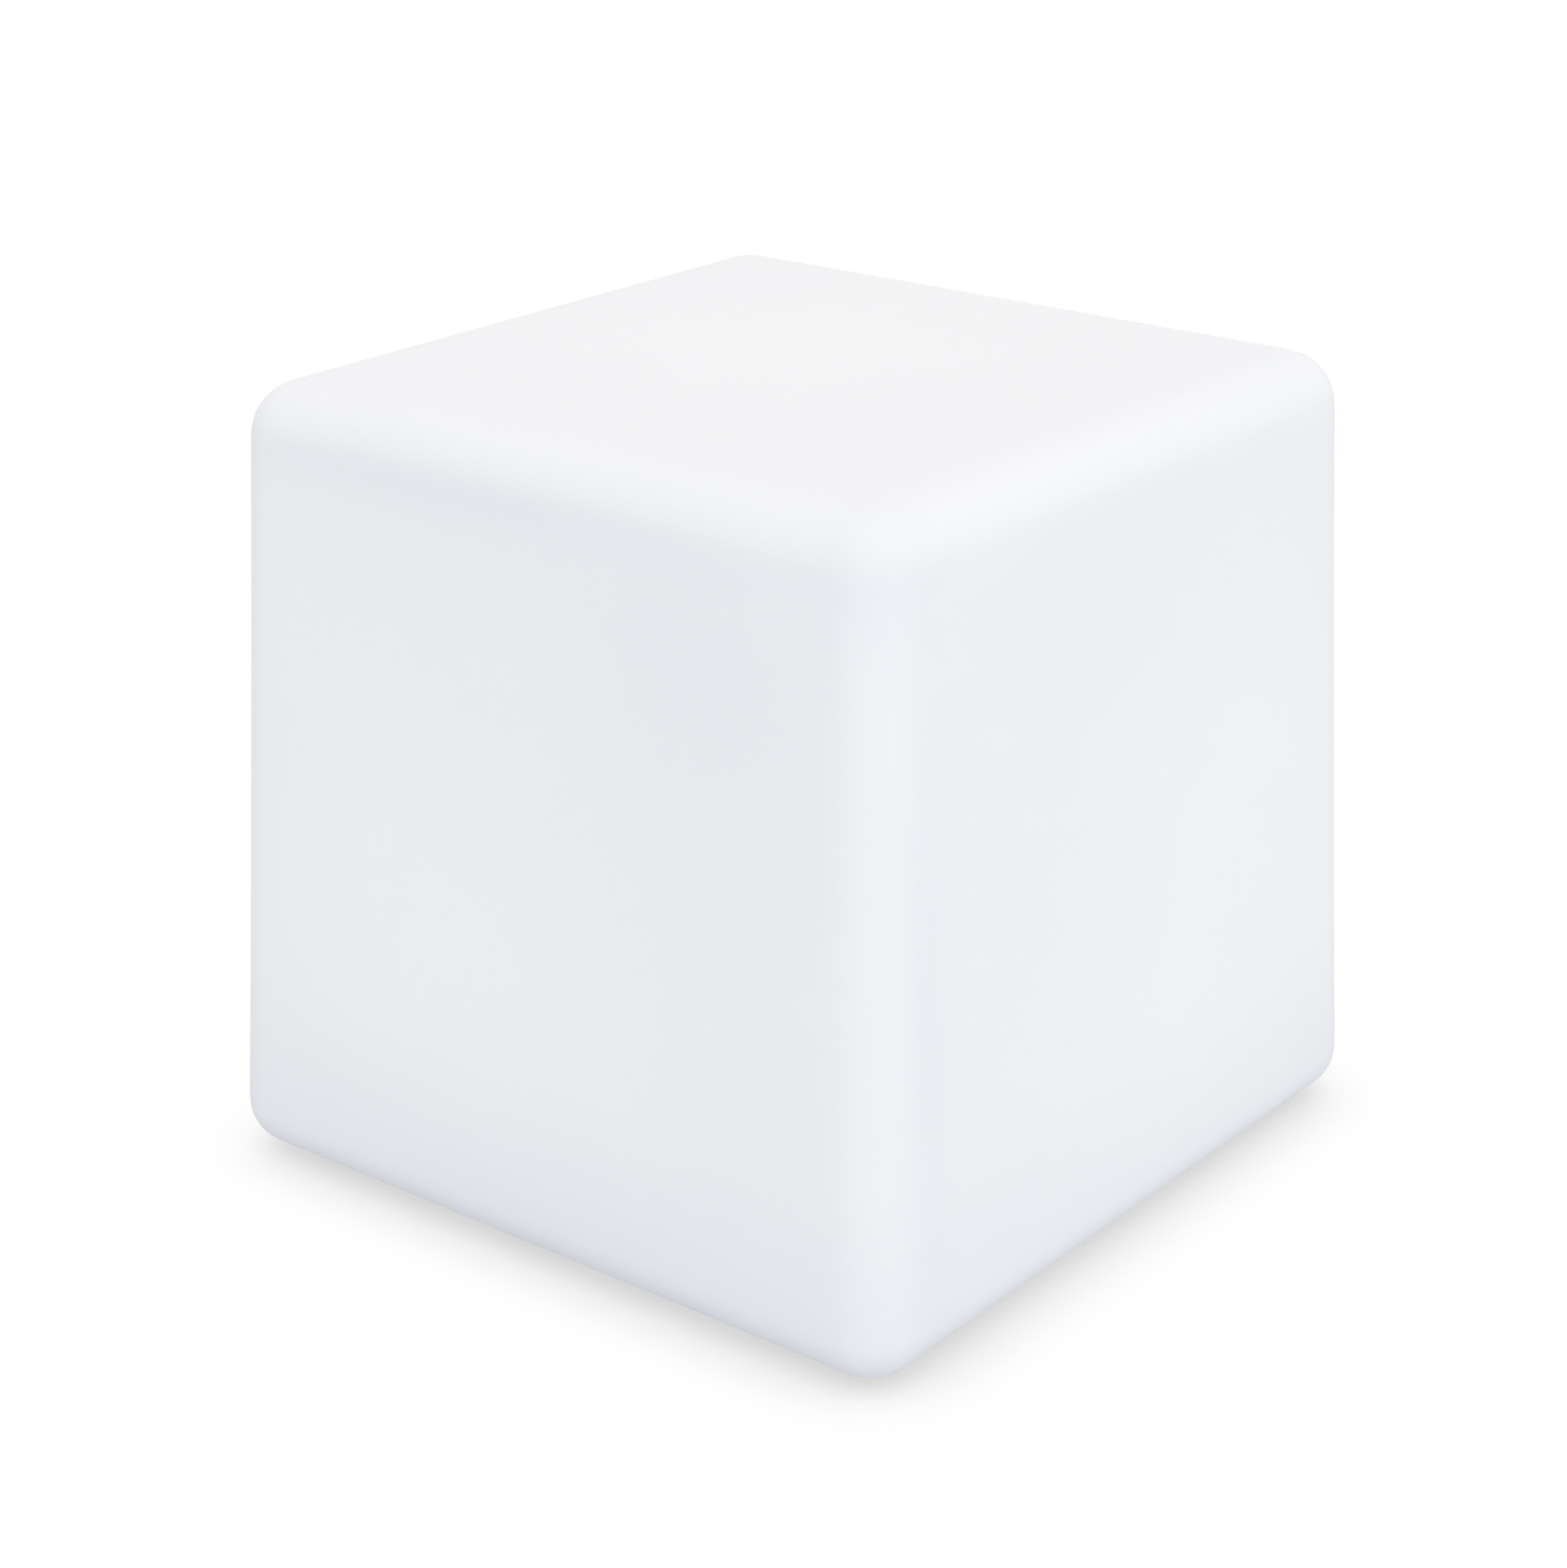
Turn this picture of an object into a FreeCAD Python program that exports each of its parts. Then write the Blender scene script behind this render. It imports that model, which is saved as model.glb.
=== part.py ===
import FreeCAD, Part
import math
import os
import re

import Sketcher

# LED cube light: a hollow moulded cube that stands on four rubber feet, with a light unit that
# twists into a bayonet ring in its underside. Millimetres, +Z up; the origin is on the surface
# that the feet stand on, below the centre of the cube. Locked is the rest position.

SIZES = {
    # moulded shell: drafted sides, one skin
    "base_width": 400, "shell_height": 380.5, "draft_angle": 2.43, "edge_radius": 26, "shell_wall": 4,
    # round well in the underside, with its upturned neck
    "well_gap": 6, "well_depth": 14, "well_draft": 6, "well_edge": 4, "neck_height": 16,
    # hexagonal brass inserts, in bosses above the roof of the well
    "insert_count": 4, "insert_across": 6.4, "insert_length": 8, "insert_relief": 1, "insert_fit": 0.05,
    "boss_radius": 8, "boss_height": 9,
    # rubber feet, pushed into the floor of the shell
    "foot_height": 2.5, "foot_radius": 14, "foot_edge": 1, "foot_inset": 50,
    "stem_radius": 4, "stem_fit": 0.1, "barb_reach": 1.4, "barb_height": 5,
    # bayonet ring
    "gasket_thickness": 1, "gasket_margin": 1.1, "ring_flange": 3, "ring_margin": 6, "ring_edge": 1,
    "spigot_height": 19, "spigot_wall": 4.4, "ring_fit": 0.6,
    "ledge_level": 6.5, "ledge_thickness": 3, "ledge_span": 60,
    "stop_span": 5, "stop_play": 1, "stop_rise": 1,
    # lugs of the light unit
    "lug_count": 3, "lug_span": 48, "lug_reach": 3.5, "lug_play": 0.5, "lug_thickness": 3, "lug_root": 1,
    # unit housing
    "unit_wall": 2.5, "unit_flange": 3.5, "flange_margin": 3.5, "flange_gap": 0.3,
    "flange_edge": 1.2, "seal_margin": 2, "seal_width": 5, "seal_groove": 1.5,
    "grip_depth": 16, "grip_bar": 34, "grip_edge": 3, "channel_end": 9.5,
    # screws: pan heads on plain shanks
    "ring_screw": 2, "ring_screw_length": 11, "ring_head": 3.9, "ring_head_height": 2.4,
    "head_clearance": 1.6, "small_screw": 1.2, "small_head": 2.4, "small_head_height": 1.5,
    "dome_screw_length": 11, "pilot_depth": 3.5, "screw_rest": 0.5, "screw_fit": 0.3, "pilot_fit": 0.05,
    # push switch in the grip bar
    "switch_at": 25, "switch_barrel": 6, "switch_depth": 12.5, "switch_floor": 3,
    "bezel_radius": 8, "bezel_height": 1.6, "button_radius": 4, "button_edge": 0.6, "button_fit": 0.1,
    "button_proud": 2, "button_skirt": 4, "button_travel": 1.5, "button_stem": 2, "button_rest": 0.3,
    # charging socket
    "jack_at": -28, "jack_barrel": 4, "jack_depth": 11.5, "jack_flange": 5.8, "jack_flange_height": 1.2,
    "jack_bore": 3.1, "jack_bore_depth": 9, "jack_pin": 1, "jack_pin_recess": 3.4,
    "nut_across": 15, "jack_nut_across": 11, "nut_height": 2.2, "panel_fit": 0.1,
    # cap of the socket, and the strap that keeps it
    "cap_radius": 7.5, "cap_thickness": 2.2, "cap_edge": 0.8, "plug_length": 2.6, "plug_play": 0.25,
    "plug_taper": 0.8, "hinge_offset": 10.5, "tongue_root": 2, "strap_width": 6, "strap_thickness": 1.2,
    "strap_gap": 0.3, "anchor_offset": 16, "anchor_radius": 3.4, "anchor_stem": 1.5, "anchor_barb": 0.8,
    "anchor_barb_height": 1.2,
    # light pipe, and the charging light above it
    "pipe_at": 4, "pipe_radius": 1.5, "pipe_lip": 0.5, "pipe_gap": 0.3,
    "indicator_size": 2.4, "indicator_height": 1,
    # control board and what is on it
    "board_inset": 4.2, "board_side_gap": 1.5, "board_thickness": 1.6, "board_corner": 3,
    "board_standoff": 3.5, "board_hole_end": 5, "board_hole_side": 2.9, "post_radius": 2.8,
    "part_pitch": 8, "chip_size": 9, "small_chip_size": 6, "chip_height": 1.4,
    "coil_radius": 4.5, "coil_waist": 0.8, "coil_plate": 1, "coil_height": 5,
    "capacitor_radius": 3.2, "capacitor_height": 5.4,
    "connector_length": 7, "connector_width": 7.5, "connector_height": 4.6,
    # battery: two cells side by side in a tray
    "cell_radius": 9.2, "cell_length": 65, "cell_pitch": 19.2, "cell_fit": 0.3, "terminal_radius": 3,
    "terminal_height": 0.8, "tray_clearance": 0.8, "tray_floor": 2, "tray_height": 8, "tray_wall": 3,
    "tray_lip": 1, "tray_ear": 11, "tray_ear_corner": 3, "tray_post": 4, "tray_hole_inset": 8.2,
    "tray_hole_reach": 5.8, "band_width": 14, "band_skin": 0.8, "link_width": 7, "link_thickness": 0.2,
    "tab_length": 12, "tab_gap": 1,
    # heat spreader, light board and dome
    "plate_clearance": 0.9, "plate_thickness": 2, "plate_play": 0.7,
    "tower_inset": 4.5, "tower_radius": 4.2, "tower_count": 3, "tower_turn": 30,
    "led_size": 5, "led_height": 1.6, "led_margin": 11, "led_pitch": 15,
    "outer_led_count": 12, "inner_led_count": 6,
    "receiver_width": 6, "receiver_depth": 4, "receiver_height": 5, "receiver_edge": 1,
    "dome_gasket": 1, "dome_flange": 2.5, "dome_gap": 4, "dome_margin": 7, "dome_height": 25,
    "dome_wall": 2,
    # flat two-core leads
    "ribbon_width": 5.4, "ribbon_thickness": 1.4, "ribbon_fit": 0.5, "ribbon_end": 0.6,
    "led_lead_gap": 2.8, "led_lead_inset": 3, "battery_lead_loop": 5.8,
}

doc = FreeCAD.newDocument("LedCubeLight")
sheet = doc.addObject("Spreadsheet::Sheet", "dims")
for row, (alias, value) in enumerate(SIZES.items(), start=1):
    sheet.set(f"A{row}", alias)
    sheet.set(f"B{row}", str(value))
    sheet.setAlias(f"B{row}", alias)
doc.recompute()

PARTS = []


def cells(text):
    """The same formula with each size's name turned into its cell of the sheet."""
    return re.sub(r"[a-z][a-z_]*", lambda word: f"dims.{word[0]}" if word[0] in SIZES else word[0], text)


def num(text):
    return float(sheet.evalExpression(cells(text)))


# Lengths and places that follow from the cells: their tray, and the board below it
CELL_HALF = "((cell_length + terminal_height) / 2)"
TRAY_HALF = f"({CELL_HALF} + cell_fit + tray_wall)"
TRAY_SIDE = "(cell_pitch + tray_lip)"
TRAY_HOLE = (f"({TRAY_HALF} - tray_hole_inset)", f"({TRAY_SIDE} + tray_hole_reach)")
BOARD_END = f"({TRAY_HALF} - board_inset)"
BOARD_SIDE = f"({TRAY_HOLE[1]} - tray_post - board_side_gap)"
BOARD_HOLE = (f"({BOARD_END} - board_hole_end)", f"({BOARD_SIDE} - board_hole_side)")
FOOT_PLACE = "(base_width / 2 - foot_inset)"

# Radii from the lead beside the tray outwards: light board, dome, barrel, ring and well
LED_LEAD_AT = f"({TRAY_HALF} + led_lead_gap)"
LED_BOARD_RADIUS = f"({LED_LEAD_AT} + led_lead_inset)"
DOME_RADIUS = f"({LED_BOARD_RADIUS} + dome_gap)"
TOWER_CIRCLE = f"({DOME_RADIUS} + dome_margin)"
BARREL_BORE = f"({TOWER_CIRCLE} + tower_inset)"
PLATE_RADIUS = f"({BARREL_BORE} - plate_play)"
BARREL_RADIUS = f"({BARREL_BORE} + unit_wall)"
LUG_RADIUS = f"({BARREL_RADIUS} + lug_reach)"
LEDGE_RADIUS = f"({BARREL_RADIUS} + lug_play)"
RING_BORE = f"({LUG_RADIUS} + lug_play)"
SPIGOT_RADIUS = f"({RING_BORE} + spigot_wall)"
NECK_RADIUS = f"({SPIGOT_RADIUS} + ring_fit)"
SEAL_INNER = f"({RING_BORE} + seal_margin)"
SEAL_OUTER = f"({SEAL_INNER} + seal_width)"
UNIT_FLANGE_RADIUS = f"({SEAL_OUTER} + flange_margin)"
INSERT_CIRCLE = f"({UNIT_FLANGE_RADIUS} + head_clearance + ring_head)"
GASKET_RADIUS = f"({INSERT_CIRCLE} - ring_head - gasket_margin)"
RING_RADIUS = f"({INSERT_CIRCLE} + ring_margin)"
WELL_RADIUS = f"({RING_RADIUS} + well_gap)"

# Levels above the standing surface, from the shell's floor up through the light unit
SHELL = "(foot_height)"
ROOF = f"({SHELL} + well_depth)"
RING_TOP = f"({ROOF} - gasket_thickness)"
RING = f"({RING_TOP} - ring_flange)"
UNIT_FLANGE_TOP = f"({RING} - flange_gap)"
UNIT = f"({UNIT_FLANGE_TOP} - unit_flange)"
LEDGE_TOP = f"({RING} + ledge_level + ledge_thickness)"
UNIT_FLOOR = f"({UNIT} + grip_depth + unit_wall)"
BOARD = f"({UNIT_FLOOR} + board_standoff)"
BOARD_TOP = f"({BOARD} + board_thickness)"
LEAD_LEVEL = f"({BOARD_TOP} + connector_height / 2)"
TRAY = f"({BOARD_TOP} + capacitor_height + tray_clearance)"
CELL_AXIS = f"({TRAY} + tray_floor + cell_fit + cell_radius)"
PLATE = f"({CELL_AXIS} + cell_radius + cell_fit + band_skin + plate_clearance)"
UNIT_RIM = f"({PLATE} + plate_thickness)"
LED_FACE = f"({UNIT_RIM} + board_thickness)"
DOME_SEAT = "(dome_gasket + dome_flange)"

# Share of a lead's run that an arc may take: one arc at an end run, two at an inner run
END_SHARE = 0.9
INNER_SHARE = 0.45


def bind(item, prop, text):
    item.setExpression(prop, cells(text))


def place(item, at):
    for axis, text in zip("xyz", at):
        if text != "0":
            bind(item, f"Placement.Base.{axis}", text)


def body(label, at=("0", "0", "0")):
    item = doc.addObject("PartDesign::Body", label)
    item.Label = label
    item.AllowCompound = True
    place(item, at)
    PARTS.append(item)
    return item


def datum(item, role):
    return next(found for found in item.Origin.OriginFeatures if found.Role == role)


def sketch(item, name, level="0", plane="XY_Plane"):
    """A sketch on one of the body's own planes, or at a level above it."""
    drawn = item.newObject("Sketcher::SketchObject", name)
    drawn.AttachmentSupport = [(datum(item, plane), "")]
    drawn.MapMode = "FlatFace"
    if level != "0":
        bind(drawn, "AttachmentOffset.Base.z", level)
    return drawn


def pin_point(drawn, geometry, point, across, along):
    """Hold a point of the sketch at its place, each coordinate by its own formula."""
    for kind, axis, text in (("DistanceX", -2, across), ("DistanceY", -1, along)):
        if text == "0":
            drawn.addConstraint(Sketcher.Constraint("PointOnObject", geometry, point, axis))
        else:
            index = drawn.addConstraint(Sketcher.Constraint(kind, -1, 1, geometry, point, num(text)))
            bind(drawn, f"Constraints[{index}]", text)


def outline(drawn, corners):
    """A closed outline. A corner is (x, y), or (x, y, radius) where the side that ends there is an
    arc: counter-clockwise, or clockwise with a minus sign before its radius."""
    first = drawn.GeometryCount
    spots = [FreeCAD.Vector(num(corner[0]), num(corner[1]), 0) for corner in corners]
    ends = []
    for index, spot in enumerate(spots):
        following = (index + 1) % len(spots)
        target = spots[following]
        arc = corners[following][2] if len(corners[following]) > 2 else None
        if arc is None:
            drawn.addGeometry(Part.LineSegment(spot, target), False)
            ends.append((1, 2))
            continue
        clockwise = arc.startswith("-")
        start, stop = (target, spot) if clockwise else (spot, target)
        chord = stop - start
        radius = num(arc.lstrip("-"))
        rise = math.sqrt(max(radius ** 2 - (chord.Length / 2) ** 2, 0))
        normal = FreeCAD.Vector(-chord.y, chord.x, 0).normalize()
        centre = (start + stop) / 2 + normal * rise
        angles = [math.atan2(end.y - centre.y, end.x - centre.x) for end in (start, stop)]
        if angles[1] < angles[0]:
            angles[1] += 2 * math.pi
        circle = Part.Circle(centre, FreeCAD.Vector(0, 0, 1), radius)
        drawn.addGeometry(Part.ArcOfCircle(circle, *angles), False)
        ends.append((2, 1) if clockwise else (1, 2))
    count = len(spots)
    for index in range(count):
        following = (index + 1) % count
        drawn.addConstraint(Sketcher.Constraint(
            "Coincident", first + index, ends[index][1], first + following, ends[following][0]))
    for index, corner in enumerate(corners):
        pin_point(drawn, first + index, ends[index][0], corner[0], corner[1])
        if len(corner) > 2:
            side = first + (index - 1) % count
            bound = drawn.addConstraint(Sketcher.Constraint("Radius", side, num(corner[2].lstrip("-"))))
            bind(drawn, f"Constraints[{bound}]", corner[2].lstrip("-"))
    return drawn


def circles(drawn, radius, centres=(("0", "0"),)):
    for across, along in centres:
        centre = FreeCAD.Vector(num(across), num(along), 0)
        index = drawn.addGeometry(Part.Circle(centre, FreeCAD.Vector(0, 0, 1), num(radius)), False)
        bound = drawn.addConstraint(Sketcher.Constraint("Radius", index, num(radius)))
        bind(drawn, f"Constraints[{bound}]", radius)
        pin_point(drawn, index, 3, across, along)
    return drawn


def box_corners(width, depth, centre=("0", "0")):
    return [(f"{centre[0]} {right} ({width}) / 2", f"{centre[1]} {back} ({depth}) / 2")
            for right, back in (("-", "-"), ("+", "-"), ("+", "+"), ("-", "+"))]


def hexagon(across, centre=("0", "0")):
    return [(f"{centre[0]} + ({across}) / sqrt(3) * cos({60 * step})",
             f"{centre[1]} + ({across}) / sqrt(3) * sin({60 * step})") for step in range(6)]


def sector_corners(inner, outer, start, stop):
    def at(radius, angle):
        return f"{radius} * cos({angle})", f"{radius} * sin({angle})"
    return [(*at(inner, start), f"-{inner}"), at(outer, start), (*at(outer, stop), outer), at(inner, stop)]


def opposite_spots(across, along):
    return [(across, along), (f"-{across}", f"-{along}")]


def extrude(item, kind, drawn, length, forward, taper):
    before = item.Tip.Shape.Volume if item.Tip else 0
    feature = item.newObject(f"PartDesign::{kind}", f"{drawn.Name}_{kind.lower()}")
    feature.Profile = drawn
    feature.Reversed = forward == (kind == "Pocket")
    bind(feature, "Length", length)
    if taper:
        bind(feature, "TaperAngle", taper)
    doc.recompute()
    changed = feature.Shape.Volume - before
    if (changed < 0) != (kind == "Pocket") or abs(changed) < 1e-3:
        raise ValueError(f"{feature.Name} changes nothing")
    return feature


def pad(item, drawn, length, forward=True, taper=None):
    return extrude(item, "Pad", drawn, length, forward, taper)


def pocket(item, drawn, length, forward=True, taper=None):
    return extrude(item, "Pocket", drawn, length, forward, taper)


def revolve(item, drawn):
    feature = item.newObject("PartDesign::Revolution", f"{drawn.Name}_revolution")
    feature.Profile = drawn
    feature.ReferenceAxis = (drawn, ["V_Axis"])
    feature.Angle = 360
    doc.recompute()
    return feature


def polar(item, features, count):
    feature = item.newObject("PartDesign::PolarPattern", f"{features[0].Name}_pattern")
    feature.Originals = features
    feature.Axis = (datum(item, "Z_Axis"), [""])
    feature.Angle = 360
    bind(feature, "Occurrences", count)
    item.Tip = feature
    doc.recompute()
    return feature


def dress_edges(item, kind, size, *tests):
    """Fillet or chamfer the edges that pass any one of the tests; poles of round faces don't count."""
    base = item.Tip
    names = [f"Edge{index}" for index, edge in enumerate(base.Shape.Edges, start=1)
             if not edge.Degenerated and any(test(edge) for test in tests)]
    feature = item.newObject(f"PartDesign::{kind}", f"{base.Name}_{kind.lower()}")
    feature.Base = (base, names)
    bind(feature, "Radius" if kind == "Fillet" else "Size", size)
    doc.recompute()
    return feature


def is_ring(radius, level):
    """A test for a circle about the sub-part's own axis, of a given radius and height."""
    def test(edge):
        if edge.Curve.TypeId != "Part::GeomCircle":
            return False
        middle = edge.Curve.Center
        return (math.hypot(middle.x, middle.y) < 0.01 and abs(edge.Curve.Radius - num(radius)) < 0.05
                and abs(middle.z - num(level)) < 0.05)
    return test


def lies_at(level, side="0", reach="base_width"):
    """A test for an edge that lies flat at a level, out past a side and within a reach."""
    def test(edge):
        box = edge.BoundBox
        return (abs(box.ZMin - num(level)) < 0.01 and abs(box.ZMax - num(level)) < 0.01
                and abs(edge.CenterOfMass.y) > num(side) - 0.1 and box.XMax < num(reach))
    return test


def stands(height, side="0"):
    """A test for an upright edge of a given height, out past a side."""
    def test(edge):
        return (abs(edge.BoundBox.ZLength - num(height)) < 0.01
                and abs(edge.CenterOfMass.y) > num(side))
    return test


def turned(label, corners, at=("0", "0", "0")):
    item = body(label, at)
    revolve(item, outline(sketch(item, f"{label}_profile", plane="XZ_Plane"), corners))
    return item


def block(label, width, depth, height, at):
    item = body(label, at)
    pad(item, outline(sketch(item, f"{label}_plan"), box_corners(width, depth)), height)
    return item


def flat_ring(label, outer, inner, thickness, level):
    item = body(label, ("0", "0", level))
    drawn = circles(sketch(item, f"{label}_plan"), outer)
    circles(drawn, inner)
    pad(item, drawn, thickness)


def screws(label, spots, radius, length, head, head_height, level, upward=False, count=None):
    """Pan-head screws as one set, their heads resting on its level and their shanks through it."""
    item = body(label, ("0", "0", level))
    heads = pad(item, circles(sketch(item, f"{label}_heads"), head, spots), head_height, not upward)
    shanks = pad(item, circles(sketch(item, f"{label}_shanks"), radius, spots), length, upward)
    if count:
        polar(item, [heads, shanks], count)


def cube_shell():
    """Drafted block with rounded edges, cored to an even wall, then the well and its neck."""
    item = body("cube_shell", ("0", "0", SHELL))
    outer = outline(sketch(item, "shell_base"), box_corners("base_width", "base_width"))
    full = pad(item, outer, "shell_height", taper="-draft_angle")
    corners = [edge.CenterOfMass for edge in full.Shape.Edges]
    core_width = "(base_width - 2 * shell_wall * tan(draft_angle) - 2 * shell_wall / cos(draft_angle))"
    core = outline(sketch(item, "shell_core", "shell_wall"), box_corners(core_width, core_width))
    pocket(item, core, "shell_height - 2 * shell_wall", taper="-draft_angle")

    def is_outer(edge):
        return any((edge.CenterOfMass - corner).Length < 0.001 for corner in corners)
    dress_edges(item, "Fillet", "edge_radius - shell_wall", lambda edge: not is_outer(edge))
    dress_edges(item, "Fillet", "edge_radius", is_outer)
    roof_radius = f"({WELL_RADIUS} - well_depth * tan(well_draft))"
    neck_outer = f"({NECK_RADIUS} + shell_wall)"
    revolve(item, outline(sketch(item, "well_jacket", plane="XZ_Plane"), [
        ("0", "0"), (f"{WELL_RADIUS} + shell_wall", "0"),
        (f"{roof_radius} + shell_wall", "well_depth + shell_wall"), (neck_outer, "well_depth + shell_wall"),
        (neck_outer, "well_depth + neck_height"), ("0", "well_depth + neck_height")]))
    boss = circles(sketch(item, "insert_boss", "well_depth"), "boss_radius", [(INSERT_CIRCLE, "0")])
    polar(item, [pad(item, boss, "shell_wall + boss_height")], "insert_count")
    pocket(item, circles(sketch(item, "well_mouth"), WELL_RADIUS), "well_depth", taper="-well_draft")
    pocket(item, circles(sketch(item, "neck_bore", "well_depth"), NECK_RADIUS), "neck_height")
    dress_edges(item, "Chamfer", "well_edge", is_ring(WELL_RADIUS, "0"), is_ring(roof_radius, "well_depth"))
    hole = outline(sketch(item, "insert_hole", "well_depth"),
                   hexagon("insert_across + 2 * insert_fit", (INSERT_CIRCLE, "0")))
    polar(item, [pocket(item, hole, "insert_length + insert_relief")], "insert_count")
    foot_spots = opposite_spots(FOOT_PLACE, FOOT_PLACE) + opposite_spots(FOOT_PLACE, f"-{FOOT_PLACE}")
    pocket(item, circles(sketch(item, "foot_holes"), "stem_radius + stem_fit", foot_spots), "shell_wall")


def feet():
    """Rubber feet: a disc below the shell, and a stem through its floor that ends in a barb."""
    inside = "(foot_height + shell_wall)"
    profile = [("0", "0"), ("foot_radius - foot_edge", "0"), ("foot_radius", "foot_edge"),
               ("foot_radius", "foot_height"), ("stem_radius", "foot_height"), ("stem_radius", inside),
               ("stem_radius + barb_reach", inside), ("stem_radius - barb_reach", f"{inside} + barb_height"),
               ("0", f"{inside} + barb_height")]
    for depth, back in (("front", "-"), ("rear", "")):
        for side, right in (("left", "-"), ("right", "")):
            turned(f"foot_{depth}_{side}", profile, (f"{right}{FOOT_PLACE}", f"{back}{FOOT_PLACE}", "0"))


def ring_inserts():
    item = body("ring_inserts", ("0", "0", ROOF))
    spot = (INSERT_CIRCLE, "0")
    drawn = outline(sketch(item, "insert_plan"), hexagon("insert_across", spot))
    circles(drawn, "ring_screw + pilot_fit", [spot])
    polar(item, [pad(item, drawn, "insert_length")], "insert_count")


def bayonet_ring():
    """Flange below the roof of the well, a spigot up inside the neck, three ledges with stops."""
    item = body("bayonet_ring", ("0", "0", RING))
    revolve(item, outline(sketch(item, "ring_profile", plane="XZ_Plane"), [
        (RING_BORE, "0"), (RING_RADIUS, "0"), (RING_RADIUS, "ring_flange"), (SPIGOT_RADIUS, "ring_flange"),
        (SPIGOT_RADIUS, "spigot_height"), (RING_BORE, "spigot_height")]))
    root = f"({RING_BORE} + spigot_wall / 2)"
    ledge = sketch(item, "ledge_plan", "ledge_level")
    outline(ledge, sector_corners(LEDGE_RADIUS, root, "-ledge_span", "0"))
    ledge_pad = pad(item, ledge, "ledge_thickness")
    stop = sketch(item, "stop_plan", "ledge_level + ledge_thickness")
    outline(stop, sector_corners(LEDGE_RADIUS, root, "-stop_span", "0"))
    polar(item, [ledge_pad, pad(item, stop, "lug_thickness + stop_rise")], "lug_count")
    hole = circles(sketch(item, "ring_hole"), "ring_screw + screw_fit", [(INSERT_CIRCLE, "0")])
    polar(item, [pocket(item, hole, "ring_flange")], "insert_count")
    dress_edges(item, "Chamfer", "ring_edge", is_ring(RING_RADIUS, "0"),
                is_ring(SPIGOT_RADIUS, "spigot_height"))


def unit_housing():
    """One moulding: barrel and flange, lugs, two finger pockets with the hollow grip bar between."""
    item = body("unit_housing", ("0", "0", UNIT))
    floor = "(grip_depth + unit_wall)"
    rim = f"({UNIT_RIM} - {UNIT})"
    groove = "(unit_flange - seal_groove)"
    revolve(item, outline(sketch(item, "housing_profile", plane="XZ_Plane"), [
        ("0", "0"), (UNIT_FLANGE_RADIUS, "0"), (UNIT_FLANGE_RADIUS, "unit_flange"),
        (SEAL_OUTER, "unit_flange"), (SEAL_OUTER, groove), (SEAL_INNER, groove), (SEAL_INNER, "unit_flange"),
        (BARREL_RADIUS, "unit_flange"), (BARREL_RADIUS, rim), ("0", rim)]))
    lug = sketch(item, "lug_plan", f"{LEDGE_TOP} - {UNIT}")
    outline(lug, sector_corners(f"({BARREL_BORE} + lug_root)", LUG_RADIUS,
                                "-(stop_span + stop_play + lug_span)", "-(stop_span + stop_play)"))
    polar(item, [pad(item, lug, "lug_thickness")], "lug_count")
    pocket(item, circles(sketch(item, "barrel_bore", floor), BARREL_BORE), f"{rim} - {floor}")
    channel = box_corners(f"2 * ({BARREL_BORE} - channel_end)", "grip_bar - 2 * unit_wall")
    pocket(item, outline(sketch(item, "bar_channel", "unit_wall"), channel), "grip_depth")
    reach = f"sqrt({BARREL_BORE} ^ 2 - (grip_bar / 2) ^ 2)"
    grip = sketch(item, "finger_pocket")
    outline(grip, [(f"-{reach}", "grip_bar / 2", BARREL_BORE), (reach, "grip_bar / 2")])
    polar(item, [pocket(item, grip, "grip_depth")], "2")
    dress_edges(item, "Chamfer", "grip_edge", lies_at("grip_depth", "grip_bar / 2"))
    dress_edges(item, "Chamfer", "flange_edge", is_ring(UNIT_FLANGE_RADIUS, "0"),
                lies_at("0", "grip_bar / 2", BARREL_RADIUS))
    housing_posts(item, floor)
    for name, radius, at in (("switch_hole", "switch_barrel", "switch_at"),
                             ("jack_hole", "jack_barrel", "jack_at"),
                             ("pipe_hole", "pipe_radius", "pipe_at"),
                             ("anchor_hole", "anchor_stem", "jack_at + anchor_offset")):
        pocket(item, circles(sketch(item, name), f"{radius} + panel_fit", [(at, "0")]), "unit_wall")


def housing_posts(item, floor):
    """Two posts under the board, two under the tray and three towers under the heat spreader."""
    for name, spots, radius, top, depth, count in (
            ("board_post", opposite_spots(BOARD_HOLE[0], f"-{BOARD_HOLE[1]}"), "post_radius", BOARD,
             "pilot_depth", None),
            ("tray_post", opposite_spots(*TRAY_HOLE), "tray_post", TRAY,
             "pilot_depth", None),
            ("tower", [tower_spot()], "tower_radius", PLATE,
             f"dome_screw_length - {DOME_SEAT} - plate_thickness + screw_rest", "tower_count")):
        post = pad(item, circles(sketch(item, name, floor), radius, spots), f"{top} - {UNIT} - {floor}")
        if count:
            polar(item, [post], count)
        pilot = pocket(item, circles(sketch(item, f"{name}_pilot", f"{top} - {UNIT}"),
                                     "small_screw + pilot_fit", spots), depth, False)
        if count:
            polar(item, [pilot], count)


def tower_spot():
    return f"{TOWER_CIRCLE} * cos(tower_turn)", f"{TOWER_CIRCLE} * sin(tower_turn)"


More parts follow.
